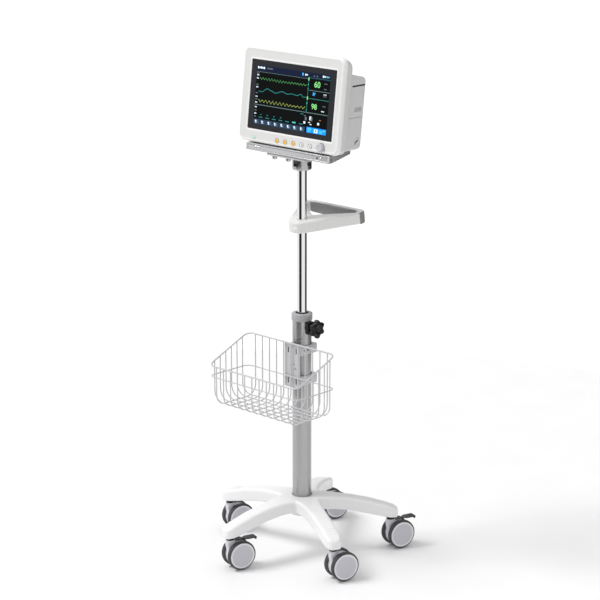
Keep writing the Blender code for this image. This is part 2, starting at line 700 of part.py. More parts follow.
def make_tray(frame):
    """A deck with a deep front rail; its side walls taper to the back and it is open underneath."""
    tray = level(box("mounting_tray", (-TRAY_HALF_W, -1 * MM, TRAY_BOTTOM), (TRAY_HALF_W, TRAY_D, TRAY_TOP),
                     "bracket_grey", frame, 1 * MM, 1))
    cut(tray,
        level(box("tray_pocket", (-TRAY_HALF_W + 3 * MM, RAIL_D, TRAY_BOTTOM - 20 * MM),
                  (TRAY_HALF_W - 3 * MM, TRAY_D + 20 * MM, TRAY_TOP - 4 * MM), parent=frame)),
        level(box("tray_taper", (-TRAY_HALF_W - 5 * MM, RAIL_D, TRAY_BOTTOM - 20 * MM),
                  (TRAY_HALF_W + 5 * MM, TRAY_D + 10 * MM, TRAY_BOTTOM), parent=frame), -TRAY_RISE,
              start=RAIL_D))
    join(tray, level(box("tray_riser", (-TRAY_HALF_W, 40 * MM, TRAY_TOP - 1.5 * MM),
                         (TRAY_HALF_W, TRAY_D, BODY_BOTTOM - GAP), parent=frame)))
    for name, x in (("thumb_screw_left", -50 * MM), ("thumb_screw_right", -2 * MM)):
        top = TRAY_BOTTOM - GAP - ADAPTER_T - GAP + 0.35 * MM
        turned(name, [(0, top), (6 * MM, top), (6.5 * MM, top - 7 * MM), (3 * MM, top - 8 * MM),
                      (0, top - 8 * MM)], "polished_steel", frame, (x, 9 * MM, 0), steps=12)


def slab(name, half_w, low, high, radius, front, back, finish=None, parent=None, steps=5, holes=(), shift=0.0):
    """A plate with rounded corners standing in the face plane, from front to back."""
    outline = [(x + shift, z) for x, z in rounded_rectangle(half_w, low, high, radius, steps)]
    return flat_shape(name, [outline, *holes], back - front, finish, parent, (0, (front + back) / 2, 0),
                      (math.pi / 2, 0, 0))


def face_rectangle(centre_x, centre_z, half_w, half_h, radius, steps=3):
    return [(x + centre_x, z) for x, z in
            rounded_rectangle(half_w, centre_z - half_h, centre_z + half_h, radius, steps)]


def make_bezel(frame):
    half_w = BEZEL_W / 2
    window = face_rectangle(0, GLASS_UP, GLASS_W / 2 + GAP, GLASS_H / 2 + GAP, 2 * MM)
    power = face_rectangle(POWER_KEY_X, KEY_ROW, 8 * MM + GAP, 4.5 * MM + GAP, 4.5 * MM)
    holes = [window, power]
    holes += [ring_outline((x, KEY_ROW), KEY_R + GAP, 12) for x in KEYS.values()]
    holes.append(ring_outline(ENCODER_AT, 4 * MM, 10))
    bezel = slab("front_bezel", half_w, BEZEL_LOW, BEZEL_HIGH, BEZEL_CORNER, 0, BEZEL_D, "case_white", frame,
                 holes=holes, shift=BEZEL_SHIFT)
    bevel(bezel, 1.2 * MM, 1, 60)
    cut(bezel, slab("bezel_hollow", half_w - SKIN, BEZEL_LOW + SKIN, BEZEL_HIGH - SKIN, BEZEL_CORNER - SKIN,
                    4 * MM, BEZEL_D + 5 * MM, parent=frame, shift=BEZEL_SHIFT), solver="MANIFOLD")


def make_rear_case(frame):
    half_w, low, high = BEZEL_W / 2 - 1.5 * MM, BEZEL_LOW + 1.5 * MM, BEZEL_HIGH - 1.5 * MM
    case = slab("rear_case", half_w, low, high, BEZEL_CORNER - 1 * MM, BEZEL_D + GAP, LIP_D,
                "case_grey", frame, shift=BEZEL_SHIFT)
    bevel(case, 1.5 * MM, 1, 60)
    body = level(box("case_body", (-BODY_HALF_W, LIP_D - 3 * MM, BODY_BOTTOM), (BODY_HALF_W, BODY_D, BODY_TOP),
                     parent=frame, round_edges=6 * MM), BODY_FALL, start=LIP_D)
    join(case, body)
    cut(case, slab("lip_hollow", half_w - SKIN, low + SKIN, high - SKIN, BEZEL_CORNER - SKIN,
                   BEZEL_D - 5 * MM, LIP_D - SKIN, parent=frame, shift=BEZEL_SHIFT),
        level(box("body_hollow", (-BODY_HALF_W + SKIN, LIP_D - 6 * MM, BODY_BOTTOM + SKIN),
                  (BODY_HALF_W - SKIN, BODY_D - SKIN, BODY_TOP - SKIN), parent=frame), BODY_FALL, start=LIP_D))
    for side in (-1, 1):
        cut(case, level(box(f"vent_{side}", (side * BODY_HALF_W - 8 * MM, 42 * MM, 60 * MM),
                            (side * BODY_HALF_W + 8 * MM, 85 * MM, 63 * MM), parent=frame)))
    openings = (
        box("door_opening", (BODY_HALF_W - 8 * MM, DOOR_Y[0] - GAP, DOOR_Z[0] - GAP),
            (BODY_HALF_W + 8 * MM, DOOR_Y[1] + GAP, DOOR_Z[1] + GAP), parent=frame),
        box("panel_opening", (-BODY_HALF_W - 8 * MM, PANEL_Y[0] - GAP, PANEL_Z[0] - GAP),
            (-BODY_HALF_W + 8 * MM, PANEL_Y[1] + GAP, PANEL_Z[1] + GAP), parent=frame),
        box("inlet_opening", (INLET_X[0] - GAP, BODY_D - 10 * MM, INLET_Z[0] - GAP),
            (INLET_X[1] + GAP, BODY_D + 5 * MM, INLET_Z[1] + GAP), parent=frame))
    cut(case, *[level(opening) for opening in openings],
        box("lamp_opening", (-100 * MM - GAP, 17 * MM - GAP, high - 8 * MM),
            (-20 * MM + GAP, 25 * MM + GAP, high + 5 * MM), parent=frame))
    for i in range(5):
        x = -60 * MM + i * 12 * MM
        cut(case, level(box(f"rear_vent_{i}", (x, BODY_D - 10 * MM, 15 * MM),
                            (x + 4 * MM, BODY_D + 5 * MM, 55 * MM), parent=frame)))
    box("alarm_lamp", (-100 * MM, 17 * MM, high - 5 * MM), (-20 * MM, 25 * MM, high - 0.5 * MM),
        "white_powder", frame)


def make_side_parts(frame):
    hinge = empty("battery_door_hinge", (BODY_HALF_W, 0, DOOR_Z[1]), parent=frame)
    door = level(box("battery_door", (-SKIN, DOOR_Y[0], DOOR_Z[0] - DOOR_Z[1]), (0, DOOR_Y[1], 0), "case_grey",
                     hinge))
    cut(door, level(box("latch_recess", (-1.2 * MM, 76 * MM, -62 * MM), (5 * MM, 84 * MM, -50 * MM), parent=hinge)))

    panel = level(box("socket_panel", (-BODY_HALF_W, PANEL_Y[0], PANEL_Z[0]),
                      (-BODY_HALF_W + SKIN, PANEL_Y[1], PANEL_Z[1]), "light_grey_plastic", frame))
    for name, y, z, radius, finish in (("ecg_socket", 64 * MM, 36 * MM, 9 * MM, "green_key"),
                                       ("oximeter_socket", 64 * MM, 4 * MM, 8 * MM, "black_plastic"),
                                       ("pressure_port", 64 * MM, -30 * MM, 6 * MM, "polished_steel")):
        z += y * math.tan(TILT_BACK)
        cut(panel, cylinder(f"{name}_hole", radius + GAP, -BODY_HALF_W - 9 * MM, -BODY_HALF_W + 9 * MM,
                            parent=frame, axis="X", centre=(y, z), segments=20))
        wall = 2.5 * MM
        turned(name, [(0, 0), (radius - wall, 0), (radius - wall, 6 * MM), (radius, 6 * MM),
                      (radius, -8 * MM), (0, -8 * MM)], finish, frame, (-BODY_HALF_W, y, z),
               (0, -math.pi / 2, 0), steps=16)

    inlet = level(box("mains_inlet", (INLET_X[0], BODY_D - 22 * MM, INLET_Z[0]),
                      (INLET_X[1], BODY_D + 1 * MM, INLET_Z[1]), "black_plastic", frame))
    cut(inlet, level(box("inlet_recess", (INLET_X[0] + 4 * MM, BODY_D - 14 * MM, INLET_Z[0] + 4 * MM),
                         (INLET_X[1] - 4 * MM, BODY_D + 5 * MM, INLET_Z[1] - 4 * MM), parent=frame)))


def make_controls(frame):
    low = -KEY_TRAVEL_OUT
    key_back = 7 * MM
    for name, x in KEYS.items():
        finish = "amber_key" if x < 30 * MM else "case_white"
        key = cylinder(name, KEY_R, low, key_back, finish, frame, "Y", (x, KEY_ROW), segments=16)
        bevel(key, 0.5 * MM, 1, 60)
    outline = face_rectangle(POWER_KEY_X, KEY_ROW, 8 * MM, 4.5 * MM, 4.2 * MM)
    flat_shape("power_key", [outline], key_back - low, "green_key", frame, (0, (low + key_back) / 2, 0),
               (math.pi / 2, 0, 0))
    x, z = ENCODER_AT
    turned("encoder_knob", [(0, 9 * MM), (8.8 * MM, 9 * MM), (10 * MM, 7.8 * MM), (10.3 * MM, 0.5 * MM),
                            (3.2 * MM, 0.5 * MM), (3.2 * MM, -9 * MM), (0, -9 * MM)], "light_grey_plastic",
           frame, (x, 0, z), (math.pi / 2, 0, 0), steps=24)


def make_inner_parts(frame):
    half_w, half_h = GLASS_W / 2, GLASS_H / 2
    slab("screen_glass", half_w, GLASS_UP - half_h, GLASS_UP + half_h, 1.7 * MM, 0.6 * MM, 2.6 * MM,
         "black_glass", frame, steps=2)
    box("lcd_module", (-PANEL_W / 2 - 5 * MM, 3 * MM, GLASS_UP - PANEL_H / 2 - 5 * MM),
        (PANEL_W / 2 + 5 * MM, 11 * MM, GLASS_UP + PANEL_H / 2 + 5 * MM), "bracket_grey", frame)
    level(box("main_board", (-120 * MM, 30 * MM, -60 * MM), (120 * MM, 32 * MM, 70 * MM), "circuit_green", frame))
    level(box("power_supply", (30 * MM, 38 * MM, -50 * MM), (95 * MM, 72 * MM, 50 * MM), "bracket_grey", frame))
    level(box("battery", (104 * MM, 42 * MM, -96 * MM), (BODY_HALF_W - 6 * MM, 86 * MM, -34 * MM),
              "black_plastic", frame))


def make_monitor():
    frame = monitor_frame()
    make_tilt_head(frame)
    make_tray(frame)
    make_bezel(frame)
    make_rear_case(frame)
    make_side_parts(frame)
    make_controls(frame)
    make_inner_parts(frame)


clear_scene()
PARTS = new_collection(ASSEMBLY)
TOOLS = new_collection("cutters_and_pieces")
ROOT = empty("stand_axis", (AXIS_X, AXIS_Y, 0))

make_base()
clamp_axis = knob_frame()
make_column(clamp_axis)
make_clamp_knob(clamp_axis)
for caster in range(LEG_COUNT):
    make_caster(caster)
make_bracket()
make_basket()
make_pole()
make_handle()
make_head()
make_monitor()
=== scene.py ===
"""Looks for the patient monitor on its rolling stand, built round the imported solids."""
import math

import bmesh
import bpy
from mathutils import Matrix, Vector


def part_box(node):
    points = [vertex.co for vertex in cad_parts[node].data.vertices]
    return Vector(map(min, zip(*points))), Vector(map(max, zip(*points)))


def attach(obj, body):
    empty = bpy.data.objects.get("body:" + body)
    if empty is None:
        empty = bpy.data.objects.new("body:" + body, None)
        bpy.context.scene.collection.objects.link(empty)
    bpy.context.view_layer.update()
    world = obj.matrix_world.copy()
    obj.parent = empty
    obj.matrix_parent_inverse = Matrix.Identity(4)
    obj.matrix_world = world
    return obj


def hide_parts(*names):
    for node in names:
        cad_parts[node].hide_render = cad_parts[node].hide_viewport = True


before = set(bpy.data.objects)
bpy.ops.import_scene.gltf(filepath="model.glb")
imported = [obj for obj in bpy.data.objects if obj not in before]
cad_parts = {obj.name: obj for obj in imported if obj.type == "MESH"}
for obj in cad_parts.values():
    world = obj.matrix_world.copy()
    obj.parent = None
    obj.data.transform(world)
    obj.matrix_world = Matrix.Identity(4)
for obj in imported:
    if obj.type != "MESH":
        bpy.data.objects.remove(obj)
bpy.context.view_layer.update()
MM = 0.001
STEPS = 96


def shift(x, y, z):
    """A move in millimetres."""
    return Matrix.Translation((x * MM, y * MM, z * MM))


def turned(degrees, axis):
    """A turn about an axis through the origin."""
    return Matrix.Rotation(math.radians(degrees), 4, axis)


low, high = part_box("column_tube")
AXIS = Vector(((low.x + high.x) / 2, (low.y + high.y) / 2, 0))
STAND = Matrix.Translation(AXIS)
TILT = math.radians(6.7)
MONITOR = STAND @ shift(0, -40.4, 1213.5) @ Matrix.Rotation(-TILT, 4, "X")
TIP = math.tan(TILT)
# The case behind the leaning face: its depth lines run level.
CASE = MONITOR @ Matrix(((1, 0, 0, 0), (0, 1, 0, 0), (0, TIP, 1, 0), (0, 0, 0, 1)))
# A standing face: the shape's own x runs across, its y up the face, and its z towards the front.
UPRIGHT = turned(90, "X")
# A side face: the shape's x runs to the back, its y up, and its z out to the right.
SIDE = Matrix(((0, 0, 1, 0), (1, 0, 0, 0), (0, 1, 0, 0), (0, 0, 0, 1)))


# ---------------------------------------------------------------- materials

CLOUD = 9  # scale of the broad tone changes


def add(tree, kind, **inputs):
    """A shader node with the values of its inputs; an underscore stands for a space."""
    made = tree.nodes.new("ShaderNode" + kind)
    for name, value in inputs.items():
        made.inputs[name.replace("_", " ")].default_value = value
    return made


def surface(name, colour, roughness, metallic=0.0, grain=700, spread=0.04, rough_spread=0.08,
            bump=0.25, depth=0.03, stretch=(1, 1, 1), coat=0.0, glow=0.0, gloss=0.5):
    """A Principled surface with fine grain, broad tone changes and a shallow bump."""
    made = bpy.data.materials.new(name)
    made.use_nodes = True
    tree = made.node_tree
    join, shader = tree.links.new, tree.nodes["Principled BSDF"]
    place, scale = add(tree, "TexCoord"), add(tree, "Mapping", Scale=stretch)
    join(place.outputs["Object"], scale.inputs["Vector"])
    fine = add(tree, "TexNoise", Scale=grain, Detail=5)
    broad = add(tree, "TexNoise", Scale=CLOUD, Detail=2)
    for noise in (fine, broad):
        join(scale.outputs["Vector"], noise.inputs["Vector"])
    blend, half = add(tree, "Math"), add(tree, "Math")
    blend.operation, half.operation = "MULTIPLY_ADD", "MULTIPLY"
    blend.inputs[1].default_value = 0.45
    half.inputs[1].default_value = 0.55
    join(fine.outputs["Fac"], blend.inputs[0])
    join(broad.outputs["Fac"], half.inputs[0])
    join(half.outputs[0], blend.inputs[2])
    tones = add(tree, "ValToRGB")
    dark, light = tones.color_ramp.elements
    dark.position, light.position = 0.3, 0.7
    dark.color = (*[c * (1 - spread) for c in colour], 1)
    light.color = (*[min(1, c * (1 + spread)) for c in colour], 1)
    join(blend.outputs[0], tones.inputs[0])
    join(tones.outputs[0], shader.inputs["Base Color"])
    rough = add(tree, "MapRange", From_Min=0.3, From_Max=0.7, To_Min=max(0.02, roughness - rough_spread),
                To_Max=min(1, roughness + rough_spread))
    join(blend.outputs[0], rough.inputs["Value"])
    join(rough.outputs[0], shader.inputs["Roughness"])
    relief = add(tree, "Bump", Strength=bump, Distance=depth * MM)
    join(fine.outputs["Fac"], relief.inputs["Height"])
    join(relief.outputs[0], shader.inputs["Normal"])
    for field, value in (("Metallic", metallic), ("Specular IOR Level", gloss), ("Coat Weight", coat),
                         ("Coat Roughness", 0.15)):
        shader.inputs[field].default_value = value
    if glow:
        join(tones.outputs[0], shader.inputs["Emission Color"])
        shader.inputs["Emission Strength"].default_value = glow
    return made


M = {
    "powder": surface("white_powder_coat", (0.83, 0.83, 0.835), 0.36, grain=900, spread=0.02, bump=0.3,
                      coat=0.15),
    "aluminium": surface("satin_aluminium", (0.40, 0.40, 0.405), 0.25, 1.0, grain=1500, spread=0.08,
                         rough_spread=0.05, stretch=(1, 1, 0.015), bump=0.5, depth=0.02),
    "cup": surface("turned_aluminium", (0.47, 0.47, 0.47), 0.27, 1.0, grain=1300, spread=0.10,
                   stretch=(0.05, 0.05, 1), bump=0.4, depth=0.02),
    "chrome": surface("polished_steel", (0.86, 0.86, 0.87), 0.07, 1.0, grain=500, spread=0.01,
                      rough_spread=0.03, bump=0.03, depth=0.01),
    "steel": surface("zinc_steel", (0.62, 0.62, 0.63), 0.28, 1.0, grain=900, spread=0.12, bump=0.3),
    "collar": surface("collar_grey", (0.40, 0.40, 0.41), 0.42, grain=1200, spread=0.04),
    "hub": surface("caster_grey", (0.60, 0.60, 0.64), 0.32, grain=900, spread=0.03, coat=0.2),
    "disc": surface("wheel_disc_grey", (0.52, 0.52, 0.56), 0.38, grain=1100, spread=0.03, coat=0.1),
    "rim": surface("wheel_rim_grey", (0.72, 0.72, 0.75), 0.3, grain=1100, spread=0.03, coat=0.2),
    "tyre": surface("tyre_rubber", (0.045, 0.045, 0.047), 0.62, grain=1600, spread=0.25, bump=0.6,
                    depth=0.06),
    "black": surface("black_plastic", (0.008, 0.008, 0.0085), 0.30, grain=1500, spread=0.3, bump=0.4,
                     depth=0.04, gloss=0.28),
    "pedal": surface("pedal_grey", (0.035, 0.036, 0.038), 0.42, grain=1300, spread=0.2, bump=0.4, depth=0.04),
    # Matte black for black parts, and also the painted shade put in holes, slots, grooves, gaps and recesses.
    "black_and_painted_shade": surface("matte_black_and_painted_shade", (0.02, 0.02, 0.021), 0.8, grain=900, spread=0.2),
    "wire": surface("white_coated_wire", (0.56, 0.56, 0.57), 0.30, grain=900, spread=0.03, coat=0.3),
    "handle": surface("handle_white", (0.76, 0.76, 0.75), 0.34, grain=1300, spread=0.02, coat=0.1),
    "grip": surface("grip_rubber", (0.235, 0.235, 0.235), 0.62, grain=2200, spread=0.14, bump=0.9,
                    depth=0.10),
    "bezel": surface("bezel_white", (0.74, 0.74, 0.73), 0.42, grain=2500, spread=0.015, bump=0.25),
    # Whiter than the bezel: the handle's badge, and a painted highlight on the bezel's rounded rim and window
    # chamfer.
    "trim_and_highlight": surface("white_trim_and_painted_highlight", (0.90, 0.90, 0.89), 0.32, grain=2500, spread=0.01, coat=0.1),
    "case": surface("case_grey", (0.63, 0.63, 0.635), 0.48, grain=2300, spread=0.02, bump=0.45, depth=0.05),
    "lip": surface("case_lip_grey", (0.66, 0.66, 0.66), 0.42, grain=2300, spread=0.02, bump=0.35),
    # Mid grey for print, small marks and the foot ring, and also the painted shade of the tray's lower
    # groove.
    "mark": surface("mid_grey_and_groove_shade", (0.30, 0.30, 0.32), 0.5, grain=900, spread=0.05),
    "tray": surface("tray_metal", (0.60, 0.60, 0.61), 0.33, 0.75, grain=900, spread=0.08,
                    stretch=(0.04, 1, 1), bump=0.4),
    "bracket": surface("bracket_enamel", (0.56, 0.56, 0.58), 0.38, 0.15, grain=1000, spread=0.04, coat=0.1),
    "glass": surface("screen_window", (0.018, 0.020, 0.024), 0.12, grain=300, spread=0.05, rough_spread=0.02,
                     bump=0.02, gloss=0.16),
    "display": surface("display_black", (0.002, 0.003, 0.003), 0.16, grain=3000, spread=0.4,
                       rough_spread=0.02, bump=0.05, gloss=0.055),
    # Painted light: the amber key colour glows faintly, though the key holds no lamp.
    "amber": surface("amber_key", (0.86, 0.50, 0.05), 0.40, grain=1800, spread=0.05, glow=0.10),
    # Painted shade: the grey rings round the keys and the knob, and the line along the door's top, stand for
    # the shade in their seams.
    "painted_gap_shade": surface("painted_seam_shade_grey", (0.20, 0.20, 0.21), 0.5, grain=1200, spread=0.05),
    "amber_dark": surface("amber_glyph", (0.50, 0.22, 0.03), 0.45, grain=1800, spread=0.05),
    "pale_amber": surface("amber_indicator", (0.85, 0.55, 0.22), 0.4, grain=1800, spread=0.04, glow=0.1),
    # Painted light: the green of the power key glows faintly, though the key holds no lamp.
    "green": surface("power_key_green", (0.16, 0.66, 0.42), 0.38, grain=1800, spread=0.05, glow=0.15),
    "key": surface("key_white", (0.80, 0.80, 0.79), 0.38, grain=2200, spread=0.02),
    "knob": surface("rotary_grey", (0.56, 0.57, 0.60), 0.33, grain=1800, spread=0.03, coat=0.15),
    "lamp": surface("lamp_diffuser", (0.86, 0.87, 0.88), 0.25, grain=500, spread=0.02, coat=0.4),
    "board": surface("circuit_board", (0.02, 0.16, 0.06), 0.45, grain=260, spread=0.35, bump=0.5, depth=0.1),
    "battery": surface("battery_wrap", (0.05, 0.05, 0.055), 0.5, grain=900, spread=0.2),
}


def lit(name, colour, strength):
    """A lit colour of the display, with the faint unevenness of its backlight."""
    return surface(name, colour, 0.16, grain=2600, spread=0.12, rough_spread=0.02, bump=0.02, glow=strength,
                   gloss=0.055)


LIT = {name: lit("lit_" + name, colour, strength) for name, colour, strength in (
    ("navy", (0.005, 0.009, 0.028), 0.6),
    ("white", (0.62, 0.72, 0.80), 0.6),
    ("dim", (0.11, 0.13, 0.14), 0.6),
    ("green", (0.08, 0.32, 0.10), 0.6),
    ("bright_green", (0.20, 0.60, 0.20), 0.6),
    ("lime", (0.30, 0.38, 0.09), 0.6),
    ("teal", (0.018, 0.16, 0.16), 0.6),
    ("teal_line", (0.02, 0.17, 0.13), 0.6),
    ("grey_teal", (0.10, 0.15, 0.155), 0.6),
    ("cyan", (0.06, 0.42, 0.40), 0.6),
    ("blue", (0.01, 0.22, 0.72), 0.75),
    ("sky", (0.05, 0.40, 0.85), 0.7),
    ("orange", (0.35, 0.11, 0.05), 0.6),
    ("slate", (0.022, 0.045, 0.085), 0.6))}


# ---------------------------------------------------------------- shapes

def item(name, mesh, material=None, matrix=Matrix()):
    """An object whose shape already stands in its place."""
    mesh.transform(matrix)
    if matrix.determinant() < 0:
        mesh.flip_normals()
    made = bpy.data.objects.new(name, mesh)
    bpy.context.scene.collection.objects.link(made)
    if material:
        mesh.materials.clear()
        mesh.materials.append(material)
    return made


def as_mesh(name, bm):
    mesh = bpy.data.meshes.new(name)
    bm.to_mesh(mesh)
    bm.free()
    return mesh


def from_rings(name, rings, material, matrix=Matrix(), caps=True, loop=False, bands=None):
    """Skin rings of points. bands gives the material of each step from ring to ring."""
    bm = bmesh.new()
    rows = [[bm.verts.new(p) for p in ring] for ring in rings]
    count = len(rows[0])
    kinds = []
    pairs = list(zip(rows, rows[1:]))
    if loop:
        pairs.append((rows[-1], rows[0]))
    for step, (first, second) in enumerate(pairs):
        kind = bands[step] if bands else material
        if kind not in kinds:
            kinds.append(kind)
        for i in range(count):
            j = (i + 1) % count
            face = bm.faces.new((first[i], first[j], second[j], second[i]))
            face.material_index = kinds.index(kind)
    if caps and not loop:
        bm.faces.new(reversed(rows[0]))
        end = bm.faces.new(rows[-1])
        end.material_index = kinds.index(bands[-1]) if bands else 0
    bmesh.ops.remove_doubles(bm, verts=bm.verts, dist=0.000002)
    bmesh.ops.recalc_face_normals(bm, faces=bm.faces)
    mesh = as_mesh(name, bm)
    for kind in kinds:
        mesh.materials.append(kind)
    return item(name, mesh, None, matrix)


def lathe(name, profile, material, matrix=Matrix(), steps=STEPS, ring=False, bands=None, flute=None):
    """Turn (radius, height) points in millimetres about Z. flute(angle, radius) may change a radius."""
    rings = []
    for radius, height in profile:
        ring_points = []
        for i in range(steps):
            a = math.tau * i / steps
            r = flute(a, radius) if flute else radius
            ring_points.append((r * MM * math.cos(a), r * MM * math.sin(a), height * MM))
        rings.append(ring_points)
    return from_rings(name, rings, material, matrix, caps=not ring, loop=ring, bands=bands)


def box(name, lows, highs, material, matrix=Matrix(), radius=0.0, segments=3):
    """A block between two corners in millimetres, with rounded edges."""
    bm = bmesh.new()
    bmesh.ops.create_cube(bm, size=1.0)
    a, b = Vector(lows) * MM, Vector(highs) * MM
    bmesh.ops.scale(bm, vec=b - a, verts=bm.verts)
    bmesh.ops.translate(bm, vec=(a + b) / 2, verts=bm.verts)
    if radius:
        bmesh.ops.bevel(bm, geom=bm.edges[:] + bm.verts[:], offset=radius * MM, segments=segments,
                        profile=0.5, affect="EDGES")
    return item(name, as_mesh(name, bm), material, matrix)


def curve_item(name, curve, material, matrix):
    holder = bpy.data.objects.new(name, curve)
    bpy.context.scene.collection.objects.link(holder)
    mesh = bpy.data.meshes.new_from_object(holder.evaluated_get(bpy.context.evaluated_depsgraph_get()))
    bpy.data.objects.remove(holder)
    bpy.data.curves.remove(curve)
    bm = bmesh.new()
    bm.from_mesh(mesh)
    bmesh.ops.remove_doubles(bm, verts=bm.verts, dist=0.000002)
    bm.to_mesh(mesh)
    bm.free()
    return item(name, mesh, material, matrix)


def plate(name, outlines, lows, highs, material, matrix=Matrix(), radius=0.0, resolution=2):
    """Outlines in millimetres (inner ones are holes), from one height to another, with rounded rims."""
    curve = bpy.data.curves.new(name, "CURVE")
    curve.dimensions = "2D"
    curve.fill_mode = "BOTH"
    curve.extrude = ((highs - lows) / 2 - radius) * MM
    curve.bevel_depth = radius * MM
    curve.bevel_resolution = resolution
    curve.offset = -radius * MM
    curve.render_resolution_u = 1
    for outline in outlines:
        spline = curve.splines.new("POLY")
        spline.points.add(len(outline) - 1)
        for point, (x, y) in zip(spline.points, outline):
            point.co = (x * MM, y * MM, 0, 1)
        spline.use_cyclic_u = True
    return curve_item(name, curve, material, matrix @ shift(0, 0, (lows + highs) / 2))


def tube(name, points, radius, material, matrix=Matrix(), closed=False, resolution=3):
    """A round bar along points in millimetres."""
    curve = bpy.data.curves.new(name, "CURVE")
    curve.dimensions = "3D"
    curve.bevel_depth = radius * MM
    curve.bevel_resolution = resolution
    curve.use_fill_caps = not closed
    curve.render_resolution_u = 1
    spline = curve.splines.new("POLY")
    spline.points.add(len(points) - 1)
    for point, place in zip(spline.points, points):
        point.co = (*[c * MM for c in place], 1)
    spline.use_cyclic_u = closed
    return curve_item(name, curve, material, matrix)


def arc(centre, radius, start, end, count):
    return [(centre[0] + radius * math.cos(math.radians(start + (end - start) * i / count)),
             centre[1] + radius * math.sin(math.radians(start + (end - start) * i / count)))
            for i in range(count + 1)]


def circle(centre, radius, sides=32):
    return arc(centre, radius, 0, 360 - 360 / sides, sides - 1)


def rounded(half_w, lows, highs, radius, steps=6, centre_x=0.0):
    corners = ((half_w - radius, highs - radius, 0), (-half_w + radius, highs - radius, 90),
               (-half_w + radius, lows + radius, 180), (half_w - radius, lows + radius, 270))
    points = []
    for x, y, start in corners:
        points += arc((x + centre_x, y), radius, start, start + 90, steps)
    return points


def belt(circles, steps=12):
    """The tight outline round circles (x, y, radius) given anticlockwise."""
    points = []
    for i, (x, y, r) in enumerate(circles):
        before, after = circles[i - 1], circles[(i + 1) % len(circles)]
        ends = []
        for first, second in ((before, (x, y, r)), ((x, y, r), after)):
            dx, dy = second[0] - first[0], second[1] - first[1]
            lean = math.acos((first[2] - second[2]) / math.hypot(dx, dy))
            ends.append(math.degrees(math.atan2(dy, dx) - lean))
        start, end = ends
        while end < start:
            end += 360
        points += arc((x, y), r, start, end, steps)
    return points


def cut(target, *others):
    """Take shapes away from a shape, at once."""
    for other in others:
        change = target.modifiers.new("cut", "BOOLEAN")
        change.operation = "DIFFERENCE"
        change.solver = "EXACT"
        change.object = other
        bpy.context.view_layer.update()
        mesh = bpy.data.meshes.new_from_object(target.evaluated_get(bpy.context.evaluated_depsgraph_get()))
        target.modifiers.clear()
        target.data = mesh
        bpy.data.objects.remove(other)
    return target


def fuse(name, items, body, *nodes, angle=32, slot=None):
    """Make one piece of several shapes; it rides on a body and stands for the CAD nodes."""
    bpy.context.view_layer.update()
    graph = bpy.context.evaluated_depsgraph_get()
    kinds, bm = [], bmesh.new()
    for part in items:
        mesh = bpy.data.meshes.new_from_object(part.evaluated_get(graph))
        mesh.transform(part.matrix_world)
        start = len(bm.faces)
        bm.from_mesh(mesh)
        bm.faces.ensure_lookup_table()
        for face in bm.faces[start:]:
            kind = mesh.materials[face.material_index]
            if kind not in kinds:
                kinds.append(kind)
            face.material_index = kinds.index(kind)
        bpy.data.meshes.remove(mesh)
    final = bpy.data.meshes.new(name)
    bm.to_mesh(final)
    bm.free()
    for part in items:
        bpy.data.objects.remove(part)
    for kind in kinds:
        final.materials.append(kind)
    final.shade_smooth()
    final.set_sharp_from_angle(angle=math.radians(angle))
    made = item(name, final)
    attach(made, body)
    if nodes:
        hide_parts(*nodes)
    return made


def paint(node, material):
    """Give a CAD node that stays its finished material."""
    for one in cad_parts[node].material_slots:
        one.link = "DATA"
        one.material = material


def screw_head(name, radius, place, material=None, tall=1.4):
    """A low screw head with a hexagon socket, standing along the place's Z."""
    return lathe(name, [(0, 0), (radius, 0), (radius, tall * 0.6), (radius * 0.82, tall), (radius * 0.45,
                                                                                           tall),
                        (radius * 0.42, tall * 0.35), (0, tall * 0.35)], material or M["steel"],
                 place, steps=24)


# ---------------------------------------------------------------- base

LEG_STATIONS = ((20, 31, 154.5, 120), (42, 37, 154.5, 120), (60, 30, 154, 120), (85, 25.5, 152.5, 119),
                (125, 23, 148.5, 114), (175, 22, 139, 104), (225, 21.5, 125, 92.5), (242, 20, 119.5, 90),
                (252, 15.5, 115, 89), (256.6, 9, 110.5, 89.5))
BASE_TURN = math.radians(45.6)
STEM_R = 237
CLAMP_HEIGHT = 621
HANDLE_HEIGHT = 891


def stem_place(index):
    turn = BASE_TURN - index * math.tau / 5
    return Vector((STEM_R * math.cos(turn), STEM_R * math.sin(turn), 0))


def station(distance):
    """Half width, top and bottom of a leg at a distance from the axis."""
    for first, second in zip(LEG_STATIONS, LEG_STATIONS[1:]):
        if distance <= second[0]:
            t = (distance - first[0]) / (second[0] - first[0])
            return [a + (b - a) * t for a, b in zip(first[1:], second[1:])]
    return list(LEG_STATIONS[-1][1:])


